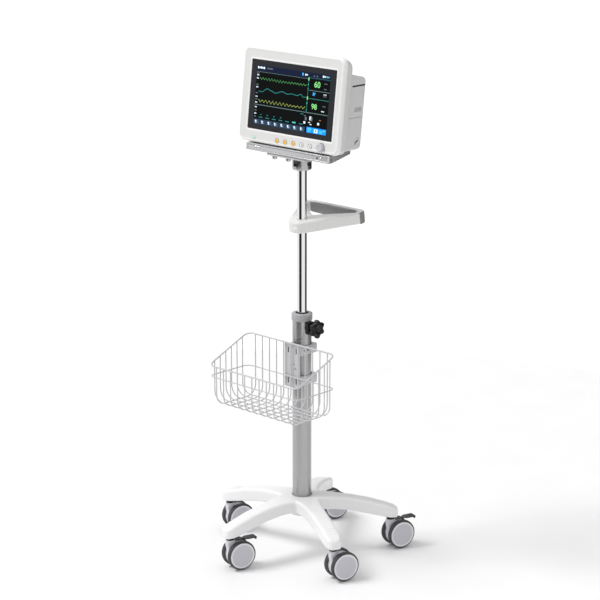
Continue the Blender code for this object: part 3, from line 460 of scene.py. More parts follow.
def make_base():
    turns = [BASE_TURN - i * math.tau / 5 for i in range(5)]
    bodies = []
    for turn in turns:
        rings = []
        for distance, half, top, bottom in LEG_STATIONS:
            rings.append([(distance * MM, y * MM, z * MM) for y, z in (
                (half, bottom), (half, top - 6), (half - 2, top - 2), (half - 6, top),
                (6 - half, top), (2 - half, top - 2), (-half, top - 6), (-half, bottom))])
        spin = STAND @ Matrix.Rotation(turn, 4, "Z")
        bodies.append(from_rings("leg", rings, M["powder"], spin))
        bodies.append(lathe("boss", [(0, 88.6), (13, 88.6), (15, 90.6), (15, 100), (0, 100)], M["powder"],
                            spin @ shift(STEM_R, 0, 0), steps=32))
    bodies.append(lathe("hub", [(0, 154.8), (33, 154.8), (37, 150), (37, 108), (31, 102.2), (0, 102.2)],
                        M["powder"], STAND, steps=64))
    shell = fuse("base_shell", bodies, "stand")
    shell.parent = None
    shell.matrix_world = Matrix()
    remesh = shell.modifiers.new("remesh", "REMESH")
    remesh.mode = "VOXEL"
    remesh.voxel_size = 1.9 * MM
    soften = shell.modifiers.new("soften", "SMOOTH")
    soften.factor = 0.6
    soften.iterations = 14
    details = [shell]
    for turn in turns:
        spin = STAND @ Matrix.Rotation(turn, 4, "Z")
        for distance in (206, 216, 226):
            half, top, bottom = station(distance)
            rib = spin @ shift(distance, 0, top - 0.1) @ turned(15.5, "Y")
            details.append(box("rib", (-1.7, 7 - half, -1.6), (1.7, half - 7, 0.75), M["powder"], rib, 0.8,
                               3))
    fuse("base_casting", details, "stand", "star_base", slot="white_powder", angle=50)
    fuse("foot_ring", [lathe("ring", [(25.35, 157.7), (26.0, 157.7), (27.2, 156.6), (27.2, 155.4),
                                      (25.35, 155.4)],
                             M["mark"], STAND, ring=True)], "stand", "column_foot_ring", slot="black_plastic")
    paint("base_nut", M["steel"])


def make_column():
    fuse("column", [lathe("tube", [(22.5, 640.5), (24.4, 640.5), (25, 639.9), (25, 155.6), (22.5, 155.6)],
                          M["aluminium"], STAND, ring=True)], "stand", "column_tube", slot="satin_aluminium")
    cap = lathe("cap", [(16.7, 655.2), (17.4, 656), (25, 656), (26.9, 655.2), (27.5, 653.6), (27.5, 638.4),
                        (26.9, 636.9), (25.35, 636.8), (25.35, 641.4), (16.7, 641.4)], M["collar"], STAND,
                ring=True)
    # Painted shade: four dark marks on the cap top stand for the shade in its notches.
    marks = [box("notch", (-1.6, -0.4, 0), (1.6, 0.4, 0.25), M["black_and_painted_shade"],
                 STAND @ turned(a, "Z") @ shift(22.3, 0, 655.9), 0.1)
             for a in (-110, -20, 70, 160)]
    fuse("column_collar", [cap, *marks], "stand", "collar", slot="light_grey_plastic")
    fuse("pole_guide", [lathe("guide", [(12.9, 657.6), (13.4, 658), (15, 658), (15.9, 657.2), (16.3, 655.8),
                                        (16.3, 641.2), (22.1, 641.2), (22.1, 571), (12.9, 571)],
                              M["black_and_painted_shade"],
                              STAND, ring=True)], "stand", "guide_bush", slot="black_plastic")
    paint("clamp_boss", M["black"])
    turn = STAND @ shift(0, 0, CLAMP_HEIGHT) @ turned(90, "Y")

    def star(a, r):
        return r - 3.2 + 3.2 * math.cos(6 * a) if r > 14 else r

    head = lathe("head", [(0, 45.8), (12, 46.2), (19, 46.5), (23.2, 47.6), (25, 50), (25, 57.5), (23.4, 60),
                          (18, 61.3), (13, 61.3), (11.6, 60.4), (0, 60.1)], M["black"], turn, steps=168,
                 flute=star)
    neck = lathe("neck", [(0, 50), (15, 49), (11.4, 44), (9.6, 39.5), (9, 36.2), (4.2, 35.6), (4.2, 13),
                          (0, 13)],
                 M["black"], turn, steps=48)
    insert = lathe("insert", [(0, 60.9), (6.2, 60.9), (7, 60.2), (7, 59), (0, 59)], M["black_and_painted_shade"], turn,
                   steps=32)
    fuse("star_knob", [head, neck, insert], "clamp", "clamp_knob", slot="black_plastic")


def make_pole():
    fuse("pole", [lathe("tube", [(10.5, 1043), (12.1, 1043), (12.5, 1042.6), (12.5, 355), (10.5, 355)],
                        M["chrome"], STAND, ring=True)], "mast", "pole_tube", slot="polished_steel")
    paint("pole_end_plug", M["black"])


# ---------------------------------------------------------------- casters

TRAIL_TURN = 72
TRAIL, AXLE_HEIGHT = 24, 40


def make_wheel(name, frame_at, side, body, node):
    place = frame_at @ shift(TRAIL, side * 9.7, AXLE_HEIGHT) @ turned(-side * 90, "X")
    disc, rim, tyre = M["disc"], M["rim"], M["tyre"]
    profile = [(0, 14.4, disc), (12, 14.5, disc), (27.5, 14.9, disc), (29.6, 15.2, rim), (31, 15.9, rim),
               (33.2, 16, rim), (34.3, 15.3, rim), (34.5, 14.2, tyre), (34.9, 14.2, tyre), (35.5, 15.2, tyre),
               (37.1, 14.6, tyre), (38.5, 12.8, tyre), (39, 10.3, tyre), (39.1, 8, tyre), (39, 5.6, tyre),
               (38.5, 3.2, tyre), (37.3, 1.4, tyre), (35.2, 0.3, tyre), (34, 0.2, rim), (33.2, 1.2, rim),
               (28, 1.6, rim), (9, 1.6, rim), (8, 0.2, rim), (4.2, 0.2, rim), (4.2, 12, rim), (0, 12, rim)]
    made = lathe("wheel", [p[:2] for p in profile], None, place, bands=[p[2] for p in profile[:-1]])
    fuse(name, [made], body, node, slot="tyre_rubber")


def make_caster(index):
    number = index + 1
    spin = STAND @ Matrix.Translation(stem_place(index) * MM) @ turned(TRAIL_TURN, "Z")
    outline = arc((TRAIL, AXLE_HEIGHT), 34, -200, 115, 44)
    outline += [(11.5, 75.5), (10.6, 78.5), (10.2, 81.5), (-10.2, 81.5), (-10.8, 78), (-11.6, 70)]
    hood = plate("hood", [outline], -9.3, 9.3, M["hub"], spin @ UPRIGHT, 3.6, 4)
    neck = lathe("neck", [(0, 82.2), (10.2, 82.2), (11, 81.4), (10.6, 79), (9.2, 74), (9.2, 66), (0, 66)],
                 M["hub"], spin, steps=40)
    ring = lathe("ring", [(0, 87.9), (10.2, 87.9), (10.9, 87.2), (10.9, 82.6), (10.2, 82.0), (0, 82.0)],
                 M["black"], spin, steps=40)
    stem = lathe("stem", [(0, 103), (4.6, 103), (5.2, 102), (5.2, 87), (0, 87)], M["steel"], spin, steps=24)
    axle = lathe("axle", [(0, 21), (3.4, 21), (4, 20.4), (4, -20.4), (3.4, -21), (0, -21)], M["steel"],
                 spin @ shift(TRAIL, 0, AXLE_HEIGHT) @ UPRIGHT, steps=24)
    fuse(f"caster_{number}_hood", [hood, neck, ring, stem, axle], f"caster_{number}", f"caster_body_{number}",
         slot="hub_grey", angle=40)
    for side, word in ((1, "left"), (-1, "right")):
        make_wheel(f"caster_{number}_wheel_{word}", spin, side, f"wheel_{number}_{word}_roller",
                   f"wheel_{number}_{word}")
    if index in (0, 2):
        pivot = spin @ shift(13, 0, 79)
        arm = box("arm", (-0.5, -4.4, -1.6), (40, 4.4, 0.7), M["pedal"], pivot, 0.5, 2)
        pad = plate("pad", [[(22, -4.4), (30, -11), (32, -12.2), (58, -12.2), (60, -10.6), (60, 10.6),
                             (58, 12.2),
                             (32, 12.2), (30, 11), (22, 4.4)]], -1.0, 1.5, M["pedal"], pivot, 0.7, 2)
        tab = box("tab", (55.5, -11, -5.5), (59, 11, 0.5), M["pedal"], pivot, 1.2, 3)
        grips = [box("ridge", (x, -9.5, 1.3), (x + 1.2, 9.5, 1.9), M["pedal"], pivot, 0.25, 2)
                 for x in (38, 42, 46, 50, 54)]
        fuse(f"caster_{number}_pedal", [arm, pad, tab, *grips], f"brake_{number}", f"brake_pedal_{number}",
             slot="black_plastic")


# ---------------------------------------------------------------- basket and its bracket

FRONT, BACK, HALF, BOTTOM = -186, -42, 158, 415.5
RIM = (520, 581)


def rim_height(y):
    return RIM[0] + (RIM[1] - RIM[0]) * (y - FRONT) / (BACK - FRONT)


def u_path(start, end, first_top, last_top, bottom, bend=30, steps=12):
    path = [(start, first_top)] + arc((start + bend, bottom + bend), bend, 180, 270, steps)
    path += arc((end - bend, bottom + bend), bend, 270, 360, steps) + [(end, last_top)]
    return path


def make_basket():
    rim = [(x, y, rim_height(y)) for x, y in rounded(HALF, FRONT, BACK, 18, 8)]
    middle = [(x, y, 491) for x, y in rounded(HALF, FRONT, BACK, 18, 8)]
    wires = [tube("rim", rim, 2.1, M["wire"], STAND, True, 4), tube("middle", middle, 1.5, M["wire"], STAND,
                                                                    True)]
    for i in range(11):
        x = (i - 5) * 26
        path = u_path(FRONT, BACK, *RIM, BOTTOM)
        wires.append(tube("long", [(x, y, z) for y, z in path], 1.5, M["wire"], STAND))
    for i in range(6):
        y = (FRONT + BACK) / 2 + (i - 2.5) * 20.6
        path = u_path(-HALF, HALF, rim_height(y), rim_height(y), BOTTOM + 2.6)
        wires.append(tube("cross", [(x, y, z) for x, z in path], 1.5, M["wire"], STAND))
    fuse("basket_wires", wires, "stand", "wire_basket", slot="white_wire", angle=60)


def make_bracket():
    face = STAND @ shift(0, -37, 0) @ UPRIGHT
    holes = []
    for z in (478, 560):
        for x in (-14, 14):
            holes.append(rounded(1.9, z - 8, z + 8, 1.8, 4, x))
    holes += [circle((-7, 517), 2.2, 16), (circle((6, 524), 2.2, 16)), circle((12, 512), 2.2, 16)]
    front = plate("plate", [rounded(27.5, 460, 578, 3, 4), *holes], -2.5, 0, M["bracket"], face, 0.5, 2)
    # Painted shade: dark sheets behind the slotted holes stand for the shade seen through them.
    backs = [box("back", (-24, -34.3, z - 11), (24, -33.9, z + 11), M["black_and_painted_shade"], STAND) for z in (478,
                                                                                                      560)]
    fuse("bracket_plate", [front, *backs], "stand", "basket_bracket", slot="bracket_grey")
    for name, z0, z1 in (("upper_clamp", 549, 573), ("lower_clamp", 467, 492)):
        outline = rounded(28, -34.2, 30, 4, 5)
        block = plate("block", [outline, circle((0, 0), 25.3, 64)], z0, z1, M["bracket"], STAND, 1.6, 3)
        middle = (z0 + z1) / 2
        sides = []
        for side in (-1, 1):
            turn = STAND @ shift(side * 27.4, 0, middle) @ turned(side * 90, "Y")
            # Painted shade: dark discs on the block's sides stand for the shade in its holes.
            for y in (-19, -7):
                sides.append(lathe("hole", [(0, 0.62), (2.5, 0.62), (2.9, 0.3), (0, 0.3)], M["black_and_painted_shade"],
                                   turn @ shift(0, y, 0), steps=20))
            back = STAND @ shift(side * 20, 29.2, middle) @ turned(-90, "X")
            sides.append(screw_head("bolt", 3.6, back, tall=0.8))
        # Painted shade: a dark strip stands for the shade in the clamp's split.
        split = box("split", (26.2, 0, z0 + 1.5), (28.2, 1.2, z1 - 1.5), M["black_and_painted_shade"], STAND, 0.2)
        fuse(name + "_block", [block, *sides, split], "stand", name, slot="bracket_grey")


# ---------------------------------------------------------------- push handle

def make_handle():
    loop_at = STAND @ shift(0, 0, HANDLE_HEIGHT) @ turned(7.2, "X")
    outer = belt(((0, 0, 34), (84, 116, 22), (-84, 116, 22)), 22)
    inner = belt(((0, 52, 9), (78, 114, 12), (-78, 114, 12)), 12)
    loop = plate("loop", [outer, inner], -15, 15, M["handle"], loop_at, 4.0, 4)
    loop = cut(loop, lathe("bore", [(0, 60), (12.8, 60), (12.8, -60), (0, -60)], M["handle"],
                           STAND @ shift(0, 0, HANDLE_HEIGHT), steps=64))
    lip = lathe("lip", [(12.9, 0), (15.2, 0), (16, -0.8), (16, -3), (12.9, -3)], M["handle"],
                loop_at @ shift(0, 0, 15.6), ring=True)
    low_lip = lathe("low_lip", [(12.9, 0), (16, 0), (16, -2), (15.2, -2.8), (12.9, -2.8)], M["handle"],
                    loop_at @ shift(0, 0, -12.8), ring=True)
    badge = lathe("badge", [(0, 1.1), (3.6, 1.0), (5.4, 0.6), (6, 0), (6, -3), (0, -3)], M["trim_and_highlight"],
                  loop_at @ turned(-76, "Z") @ shift(33.3, 0, 0)
                  @ turned(90, "Y") @ Matrix.Diagonal((0.72, 1, 1, 1)), steps=40)
    extras = [lip, low_lip, badge]
    for side in (-1, 1):
        # The seam across the arm beside the hub, and the rubber band round the far corner.
        a, b = Vector((side * 33.2, 10)), Vector((side * 102, 102))
        along = (b - a).normalized()
        out = Vector((along.y, -along.x)) * side
        spot = a + along * 10
        spin = Matrix.Rotation(math.atan2(out.y, out.x), 4, "Z")
        extras.append(box("seam", (-1.2, -0.5, -12.8), (0.1, 0.5, 12.8), M["rim"],
                          loop_at @ shift(spot.x, spot.y, 0) @ spin, 0.1, 1))
        start, end = (-22, 30) if side > 0 else (150, 202)
        band = arc((side * 84, 116), 22.2, start, end, 14) + arc((side * 84, 116), 18, end, start, 14)
        extras.append(plate("band", [band], -15.1, 15.1, M["grip"], loop_at, 1.2, 2))
    fuse("push_handle", [loop, *extras], "mast", "handle_frame", slot="handle_white", angle=45)

    # The grip pad: a soft strip with a wavy hand side and rounded rims.
    rings = []
    for i in range(49):
        t = i / 48
        x = -86 + 161 * t
        ends = min(1, 8 * t, 8 * (1 - t)) ** 0.5
        deep = 2 + (9 + 6.5 * math.sin(math.tau * (t - 0.4))) * ends
        ring = []
        for k in range(20):
            a = math.tau * k / 20
            ca, sa = math.cos(a), math.sin(a)
            y = abs(ca) ** 0.45 * math.copysign(1, ca)
            z = abs(sa) ** 0.30 * math.copysign(1, sa)
            ring.append((x * MM, (125.6 - deep / 2 + y * deep / 2) * MM, z * (12.6 + 1.8 * ends) * MM))
        rings.append(ring)
    grip = fuse("grip_pad", [from_rings("pad", rings, M["grip"], loop_at)], "mast", "handle_grip",
                slot="grip_grey", angle=60)


# ---------------------------------------------------------------- head, tray

def make_head():
    cup = lathe("cup", [(0, 1062), (23.6, 1062), (25, 1060.6), (25, 1039), (24, 1036.4), (21, 1035),
                        (0, 1035)],
                M["cup"], STAND)
    # Painted light: the slot and notch cutters carry the lighter, non-metal case-lip grey instead of
    # aluminium, to brighten their shaded insides.
    slot = box("slot", (-7.3, -40, 1045.5), (7.3, 40, 1080), M["lip"], STAND)
    bore = lathe("bore", [(0, 1043.3), (12.8, 1043.3), (12.8, 1025), (0, 1025)], M["cup"], STAND, steps=64)
    notch = lathe("notch", [(0, 30), (9, 30), (9, -60), (0, -60)], M["lip"],
                  STAND @ shift(0, 0, 1064) @ UPRIGHT, steps=48)
    fuse("swivel_cup", [cut(cup, slot, bore, notch)], "head", "mount_cup", slot="satin_aluminium", angle=40)
    across = STAND @ shift(0, 0, 1052) @ turned(90, "Y")
    bolt = lathe("bolt", [(0, 26), (3, 26), (3, -26), (0, -26)], M["steel"], across, steps=24)
    head = lathe("head", [(0, 27.4), (2.4, 27.4), (2.6, 28.9), (4.4, 28.9), (5, 28.2), (5, 25.3), (0, 25.3)],
                 M["black_and_painted_shade"], across, steps=32)
    fuse("swivel_bolt", [bolt, head], "head", "tilt_bolt", slot="black_plastic")


def make_tray():
    top, bottom, deep, rail = -119.5, -137.5, 77, 12
    side = [[(rail - 3, bottom), (rail, bottom), (deep, bottom + 0.22 * (deep - rail)), (deep, -112.4),
             (40, -112.4), (40, top), (rail - 3, top)]]
    sheet = [box("rail", (-146, 0.2, bottom + 3.4), (146, rail, top - 3.2), M["tray"], CASE, 0.6),
             box("rail_top", (-146, -1, top - 3.4), (146, rail, top), M["tray"], CASE, 0.9),
             box("rail_foot", (-146, -1, bottom), (146, rail, bottom + 3.8), M["tray"], CASE, 0.9),
             box("deck", (-146, rail - 2, top - 3.6), (146, deep, top), M["tray"], CASE, 0.9),
             plate("left", side, -146, -143, M["tray"], CASE @ SIDE, 0.5),
             plate("right", side, 143, 146, M["tray"], CASE @ SIDE, 0.5),
             box("riser", (-145.9, 40.2, top - 1.5), (145.9, deep, -112.4), M["tray"], CASE, 0.9)]
    front = MONITOR @ shift(0, 0.2, 0) @ UPRIGHT
    details = []
    # Painted shade: each screw head gets a dark hexagon that stands for the shade in its socket.
    for x in (-112, -102, 116):
        details.append(screw_head("rail_screw", 3.4, front @ shift(x, -128.6, 0), tall=1.0,
                                  material=M["chrome"]))
        details.append(lathe("socket", [(0, 0.5), (1.5, 0.5), (1.5, 0.2), (0, 0.2)], M["black_and_painted_shade"],
                             front @ shift(x, -128.6, 0), steps=6))
    # Painted shade: a dark disc stands for a hole.
    details.append(lathe("hole", [(0, 0.1), (2.6, 0.1), (2.9, -0.1), (0, -0.1)], M["black_and_painted_shade"],
                         front @ shift(105, -128.2, 0), steps=20))
    # Painted shade: a dark strip and a mid grey strip stand for the shade in the two grooves along the rail.
    details.append(box("groove", (-145, -0.1, -123.6), (145, 0.4, -122.9), M["black_and_painted_shade"], MONITOR, 0.1))
    details.append(box("lower_groove", (-145, -0.1, -133.9), (145, 0.4, -133.3), M["mark"], MONITOR, 0.1))
    for x in (-143.5, 143.5):
        details.append(box("end_cap", (x - 2.3, -0.9, bottom + 0.2), (x + 2.3, rail - 1, top - 0.4),
                           M["lip"], CASE, 0.8))
    fuse("tray_sheet", sheet + details, "monitor", "mounting_tray", slot="bracket_grey")

    plate_top = bottom - 0.3
    adapter = [box("adapter", (-71, 0.5, plate_top - 6), (71, 70, plate_top), M["tray"], CASE, 1.2),
               # Painted shade: a dark line near the adapter's top edge stands for the shade of the gap under
               # the tray.
               box("line", (-70, 0.3, plate_top - 1.4), (70, 0.6, plate_top - 0.7), M["black_and_painted_shade"], CASE,
                   0.05),
               box("tongue", (-7, -6, 1048), (7, 6, 1078), M["lip"], STAND, 1.0)]
    for x in (-58, 58):
        adapter.append(screw_head("fixing", 3.2, CASE @ shift(x, 30, plate_top - 6)
                                  @ turned(180, "X"), tall=1.6))
    fuse("adapter_plate", adapter, "monitor", "tilt_head", slot="bracket_grey")
    for word, x in (("left", -50), ("right", -2)):
        base = plate_top - 6.05
        shaft = lathe("thumb", [(0, base), (6.1, base), (6.4, base - 0.6), (6.4, base - 6.2),
                                (5.6, base - 6.9),
                                (3.2, base - 7.1), (3, base - 8), (0, base - 8)], M["steel"],
                      MONITOR @ shift(x, 9, 0), steps=96,
                      flute=lambda a, r: r + (0.12 * math.cos(24 * a) if r > 6 else 0))
        fuse("thumb_" + word, [shaft], "monitor", "thumb_screw_" + word, slot="polished_steel", angle=50)


# ---------------------------------------------------------------- monitor

KEY_ROW = -103.2
KEYS = {"alarm_pause_key": (-38.6, "amber"), "alarm_silence_key": (-10, "amber"), "freeze_key": (18.6,
                                                                                                 "amber"),
        "pressure_start_key": (47.4, "key"), "menu_key": (76.8, "key")}
GLASS = (147.3, -82.15, 94.95)  # half width, bottom and top
ENCODER = (115.8, -100.6)
POWER_KEY = (-123.2, KEY_ROW)
CASE_HALF, CASE_DEPTH = 162, 99


def face_at(x, z, y=0.0):
    """A place on the monitor's front, with the shape's Z towards the viewer."""
    return MONITOR @ shift(x, y, z) @ UPRIGHT


def face_ring(half_w, lows, highs, radius, depth, steps=9):
    return [(x * MM, depth * MM, z * MM) for x, z in rounded(half_w, lows, highs, radius, steps)]


def outer_ring(inset, depth, grow=0.0, radius=20, fall=0.0, steps=9):
    """The frame's outline, which reaches further to the left of the screen and above it."""
    half_w, lows, highs = 175.75 + grow, -116.3 - grow, 128.8 + grow - fall * (depth - 14)
    return [(x * MM, depth * MM, z * MM) for x, z in
            rounded(half_w - inset, lows + inset, highs - inset, radius - inset * 0.8, steps, -4.25)]


def window_ring(outset, depth):
    half_w, lows, highs = GLASS
    return face_ring(half_w + outset, lows - outset, highs + outset, 2.2 + outset * 0.9, depth)


def make_bezel():
    trim_and_highlight, face = M["trim_and_highlight"], M["bezel"]
    # Painted highlight: the rounded outer rim and the window's chamfer take the whiter material, the flat
    # face the plain bezel white.
    steps = [(outer_ring(*p), trim_and_highlight) for p in ((1.2, 14), (0.3, 13.2), (0, 11), (0, 7.8))]
    steps += [(outer_ring(*p), trim_and_highlight) for p in ((0.5, 5.2), (1.7, 2.9), (3.3, 1.3), (5.0, 0.4), (6.4, 0.05))]
    steps += [(outer_ring(*p), face) for p in ((7.4, 0.1), (8.4, 0.45), (9.6, 0.5))]
    steps += [(window_ring(*p), trim_and_highlight) for p in ((5.2, 0.5), (4.4, 0.42), (3.4, 0.02), (2.6, 0.0), (1.2, 0.55),
                                                (0.25, 1.6), (0, 2.6))]
    steps += [(window_ring(0, 4), face), (window_ring(3, 5.5), face), (outer_ring(3.5, 6.5), face),
              (outer_ring(3.2, 13.9), face)]
    body = from_rings("bezel", [s[0] for s in steps], None, MONITOR, loop=True, caps=False,
                      bands=[s[1] for s in steps])
    cutters = [lathe("hole", [(0, 9), (6.3, 9), (6.3, -15), (0, -15)], face, face_at(x, KEY_ROW), steps=48)
               for x, _ in KEYS.values()]
    cutters.append(lathe("hole", [(0, 9), (4, 9), (4, -15), (0, -15)], face, face_at(*ENCODER), steps=32))
    cutters.append(plate("hole", [rounded(8.3, -4.8, 4.8, 4.7, 8)], -15, 9, face, face_at(*POWER_KEY)))
    body = cut(body, *cutters)
    details = [body]
    for x, _ in KEYS.values():
        details.append(lathe("painted_gap_shade", [(6.3, -0.42), (7.3, -0.42), (7.6, -0.6), (6.3, -0.6)], M["painted_gap_shade"],
                             face_at(x, KEY_ROW), steps=48, ring=True))
    details.append(lathe("painted_gap_shade", [(10.4, -0.42), (11.6, -0.42), (11.9, -0.6), (10.4, -0.6)], M["painted_gap_shade"],
                         face_at(*ENCODER), steps=64, ring=True))
    details.append(lathe("led", [(0, 0.0), (1.0, -0.05), (1.5, -0.4), (0, -0.6)], M["pale_amber"],
                         face_at(-71.4, -104), steps=24))
    fuse("bezel_frame", details, "monitor", "front_bezel", slot="case_white", angle=30)


def make_controls():
    for name, (x, kind) in KEYS.items():
        place = face_at(x, KEY_ROW)
        cap = lathe("cap", [(0, 0.62), (4.6, 0.62), (5.3, 0.45), (5.8, 0.0), (6, -0.6), (6, -7), (0, -7)],
                    M["key"], place, steps=64)
        parts = [cap]
        if kind == "amber":
            parts.append(lathe("disc", [(0, 0.88), (4.5, 0.86), (5.2, 0.74), (5.5, 0.4), (0, 0.4)],
                               M["amber"], place, steps=48))
            if name == "alarm_pause_key":
                glyph = [[(-2.2, -1.3), (2.2, -1.3), (1.5, 0.2), (1.2, 1.6), (0, 2.2), (-1.2, 1.6),
                          (-1.5, 0.2)]]
            elif name == "alarm_silence_key":
                glyph = [circle((0, 0), 2.1, 24), circle((0, 0), 1.3, 24)]
            else:
                glyph = [rounded(2.0, -1.6, 1.6, 0.5, 3), rounded(1.2, -0.9, 0.9, 0.3, 3)]
            parts.append(plate("glyph", glyph, 0.84, 0.9, M["amber_dark"], place))
        else:
            glyph = [arc((0, 0), 2.7, -60, 120, 10) + arc((0, 0), 1.7, 120, -60, 10)]
            if name == "menu_key":
                glyph = [[(-0.6, 2.4), (1.9, 0), (-0.6, -2.4), (-1.3, -1.7), (0.4, 0), (-1.3, 1.7)]]
            parts.append(plate("glyph", glyph, 0.58, 0.72, M["black_and_painted_shade"], place))
        fuse(name + "_cap", parts, name + "_cap", name, slot="amber_key" if kind == "amber" else "case_white")
    place = face_at(*POWER_KEY)
    power = plate("power", [rounded(8, -4.5, 4.5, 4.4, 10)], -7, 0.7, M["key"], place, 0.6, 3)
    ring = plate("ring", [rounded(6.3, -3.0, 3.0, 2.9, 10), rounded(5.2, -1.9, 1.9, 1.85, 10)], 0.6, 0.88,
                 M["green"], place)
    bar = plate("bar", [rounded(0.55, 0.2, 3.9, 0.5, 3)], 0.6, 0.9, M["green"], place)
    fuse("power_key_face", [power, ring, bar], "power_key_cap", "power_key", slot="green_key")

    def flute(a, r):
        return r + (0.14 * math.cos(30 * a) if r > 9.9 else 0)

    knob = lathe("knob", [(0, 8.3), (6.6, 8.35), (7.6, 8.6), (8.5, 9.0), (9.4, 8.5), (10.0, 7.3),
                          (10.15, 5.5),
                          (10.15, 0.7), (3.2, 0.6), (3.2, -9), (0, -9)], M["knob"], face_at(*ENCODER),
                 steps=180, flute=flute)
    dot = plate("dot", [circle((0, 5.0), 0.8, 20)], 8.3, 8.5, M["mark"], face_at(*ENCODER))
    fuse("rotary_knob", [knob, dot], "encoder", "encoder_knob", slot="light_grey_plastic", angle=40)


def make_case():
    lip = from_rings("lip", [outer_ring(i, d, -1.5, 19, 0.36) for i, d in (
        (3.5, 14.3), (1.4, 14.4), (0.4, 15.0), (0, 16.2), (0, 28.6), (0.6, 32), (1.9, 34.2), (3.8, 35))],
        M["lip"], MONITOR)
    lip = cut(lip, box("lamp_seat", (-100.3, 16.7, 121), (-19.7, 25.3, 138), M["lip"], MONITOR))
    rings = []
    for inset, depth in ((0, 32), (0, 60), (0.1, 88), (0.6, 92), (2.0, 95.6), (4.4, 98.1), (8, CASE_DEPTH)):
        slope = 0.23 * (depth - 35)
        rings.append(face_ring(CASE_HALF - inset, inset - 112, 84 - slope - inset, 9, depth))
    body = from_rings("body", rings, M["case"], CASE)
    # Painted shade: the door bay and rear vent cutters carry the dark shade material for the faces they cut.
    grey, dark = M["case"], M["black_and_painted_shade"]
    cutters = [box("door_bay", (103, 37.9, -99.1), (166, 91.1, -28.9), dark, CASE),
               box("panel_bay", (-166, 38.7, -92.3), (-158.4, 92.3, 60.3), grey, CASE),
               box("inlet_bay", (65.7, 77, -90.3), (96.3, 104, -65.7), grey, CASE)]
    cutters += [box("rear_vent", (-60 + i * 12, 90, 15), (-56 + i * 12, 104, 55), dark, CASE, 1.9, 3)
                for i in range(5)]
    body = cut(body, *cutters)
    details = [lip, body]
    wall = CASE @ shift(CASE_HALF, 0, 0)
    right = wall @ SIDE
    # Painted shade: a dark plate on each side stands for the shade in a slot.
    for s in (-1, 1):
        side = CASE @ shift(s * CASE_HALF, 0, 0) @ SIDE
        details.append(plate("slot", [rounded(23.5, 49.6, 53.6, 1.6, 4, 69.5)], -0.12, 0.12, dark, side))
    details.append(plate("seam", [rounded(26.6, -28.8, -27.9, 0.4, 2, 64.5)], -0.1, 0.1, M["painted_gap_shade"], right))
    details.append(plate("mark", [rounded(12, -13.5, -3.5, 2.6, 4, 73), rounded(10.2, -11.9, -5.1, 1.8, 4,
                                                                                73)],
                         0, 0.12, M["mark"], right))
    for i in range(4):
        details.append(plate("mark", [rounded(1.9, -10.2, -7.0 + 0.5 * (i % 2), 0.6, 3, 66 + 4.7 * i)], 0,
                             0.12, M["mark"], right))
    back = CASE @ shift(0, CASE_DEPTH, 0) @ turned(-90, "X")
    for x, z in ((-148, 52), (148, 52), (-148, -96), (60, -98)):
        details.append(screw_head("case_screw", 3.2, back @ shift(x, -z, -0.3), tall=0.5,
                                  material=M["steel"]))
    details.append(plate("label", [rounded(38, -20, 16, 2, 4, -95)], -0.2, 0.25, M["rim"], back, 0.1))
    details.append(plate("label_frame", [rounded(36.5, -18.5, 14.5, 1.5, 4, -95), rounded(36, -18, 14, 1.2,
                                                                                          4, -95)],
                         0.1, 0.32, M["mark"], back))
    for i in range(7):
        details.append(box("rib", (14, 98.7, 12 + i * 5.5), (138, 99.4, 14.2 + i * 5.5), M["lip"], CASE,
                           0.35, 2))
    stud = back @ shift(38, 78, -0.4)
    details.append(lathe("earth", [(0, 1.2), (2.2, 1.2), (2.6, 0.7), (4.6, 0.7), (5, 0.2), (0, 0.2)],
                         M["steel"], stud, steps=6))
    fuse("case_shell", details, "monitor", "rear_case", slot="case_grey", angle=30)

    lamp = box("lamp", (-100, 17, 122.3), (-20, 25, 126.8), M["lamp"], MONITOR, 1.6, 4)
    fuse("lamp_bar", [lamp], "monitor", "alarm_lamp", slot="white_powder")

    door = plate("door", [rounded(26.52, -99.02, -28.98, 1.6, 6, 64.5)], -3, 0, M["case"], right, 0.35, 3)
    door = cut(door, plate("latch", [rounded(4, -91, -79, 1.8, 5, 80)], -1.4, 3, M["case"], right))
    # Painted light: the pull and the rib in the latch recess take the lighter lip grey, which brightens their
    # shaded place.
    pull = box("pull", (-1.6, 77.0, -86.5), (-0.5, 83.2, -80.6), M["lip"],
               wall, 0.5, 2)
    rib = box("rib", (-1.5, 77.2, -89.6), (-0.3, 82.8, -88.4), M["lip"], wall, 0.3, 2)
    # Painted shade: a dark plate stands for the shade in the slit beside the latch.
    slit = plate("slit", [[(70.0, -95.4), (72.0, -97.0), (82.4, -87.6), (80.6, -85.8)]], -0.1, 0.12,
                 M["black_and_painted_shade"], right)
    hook = plate("hook", [[(69.0, -88.2), (70.4, -87.0), (74.0, -90.0), (72.8, -91.4)]], -0.1, 0.12,
                 M["mark"], right)
    barrel = tube("barrel", [(-1.6, y, -30.4) for y in (40, 60, 88)], 1.2, M["case"], wall)
    fuse("battery_hatch", [door, pull, rib, slit, hook, barrel], "door", "battery_door", slot="case_grey")


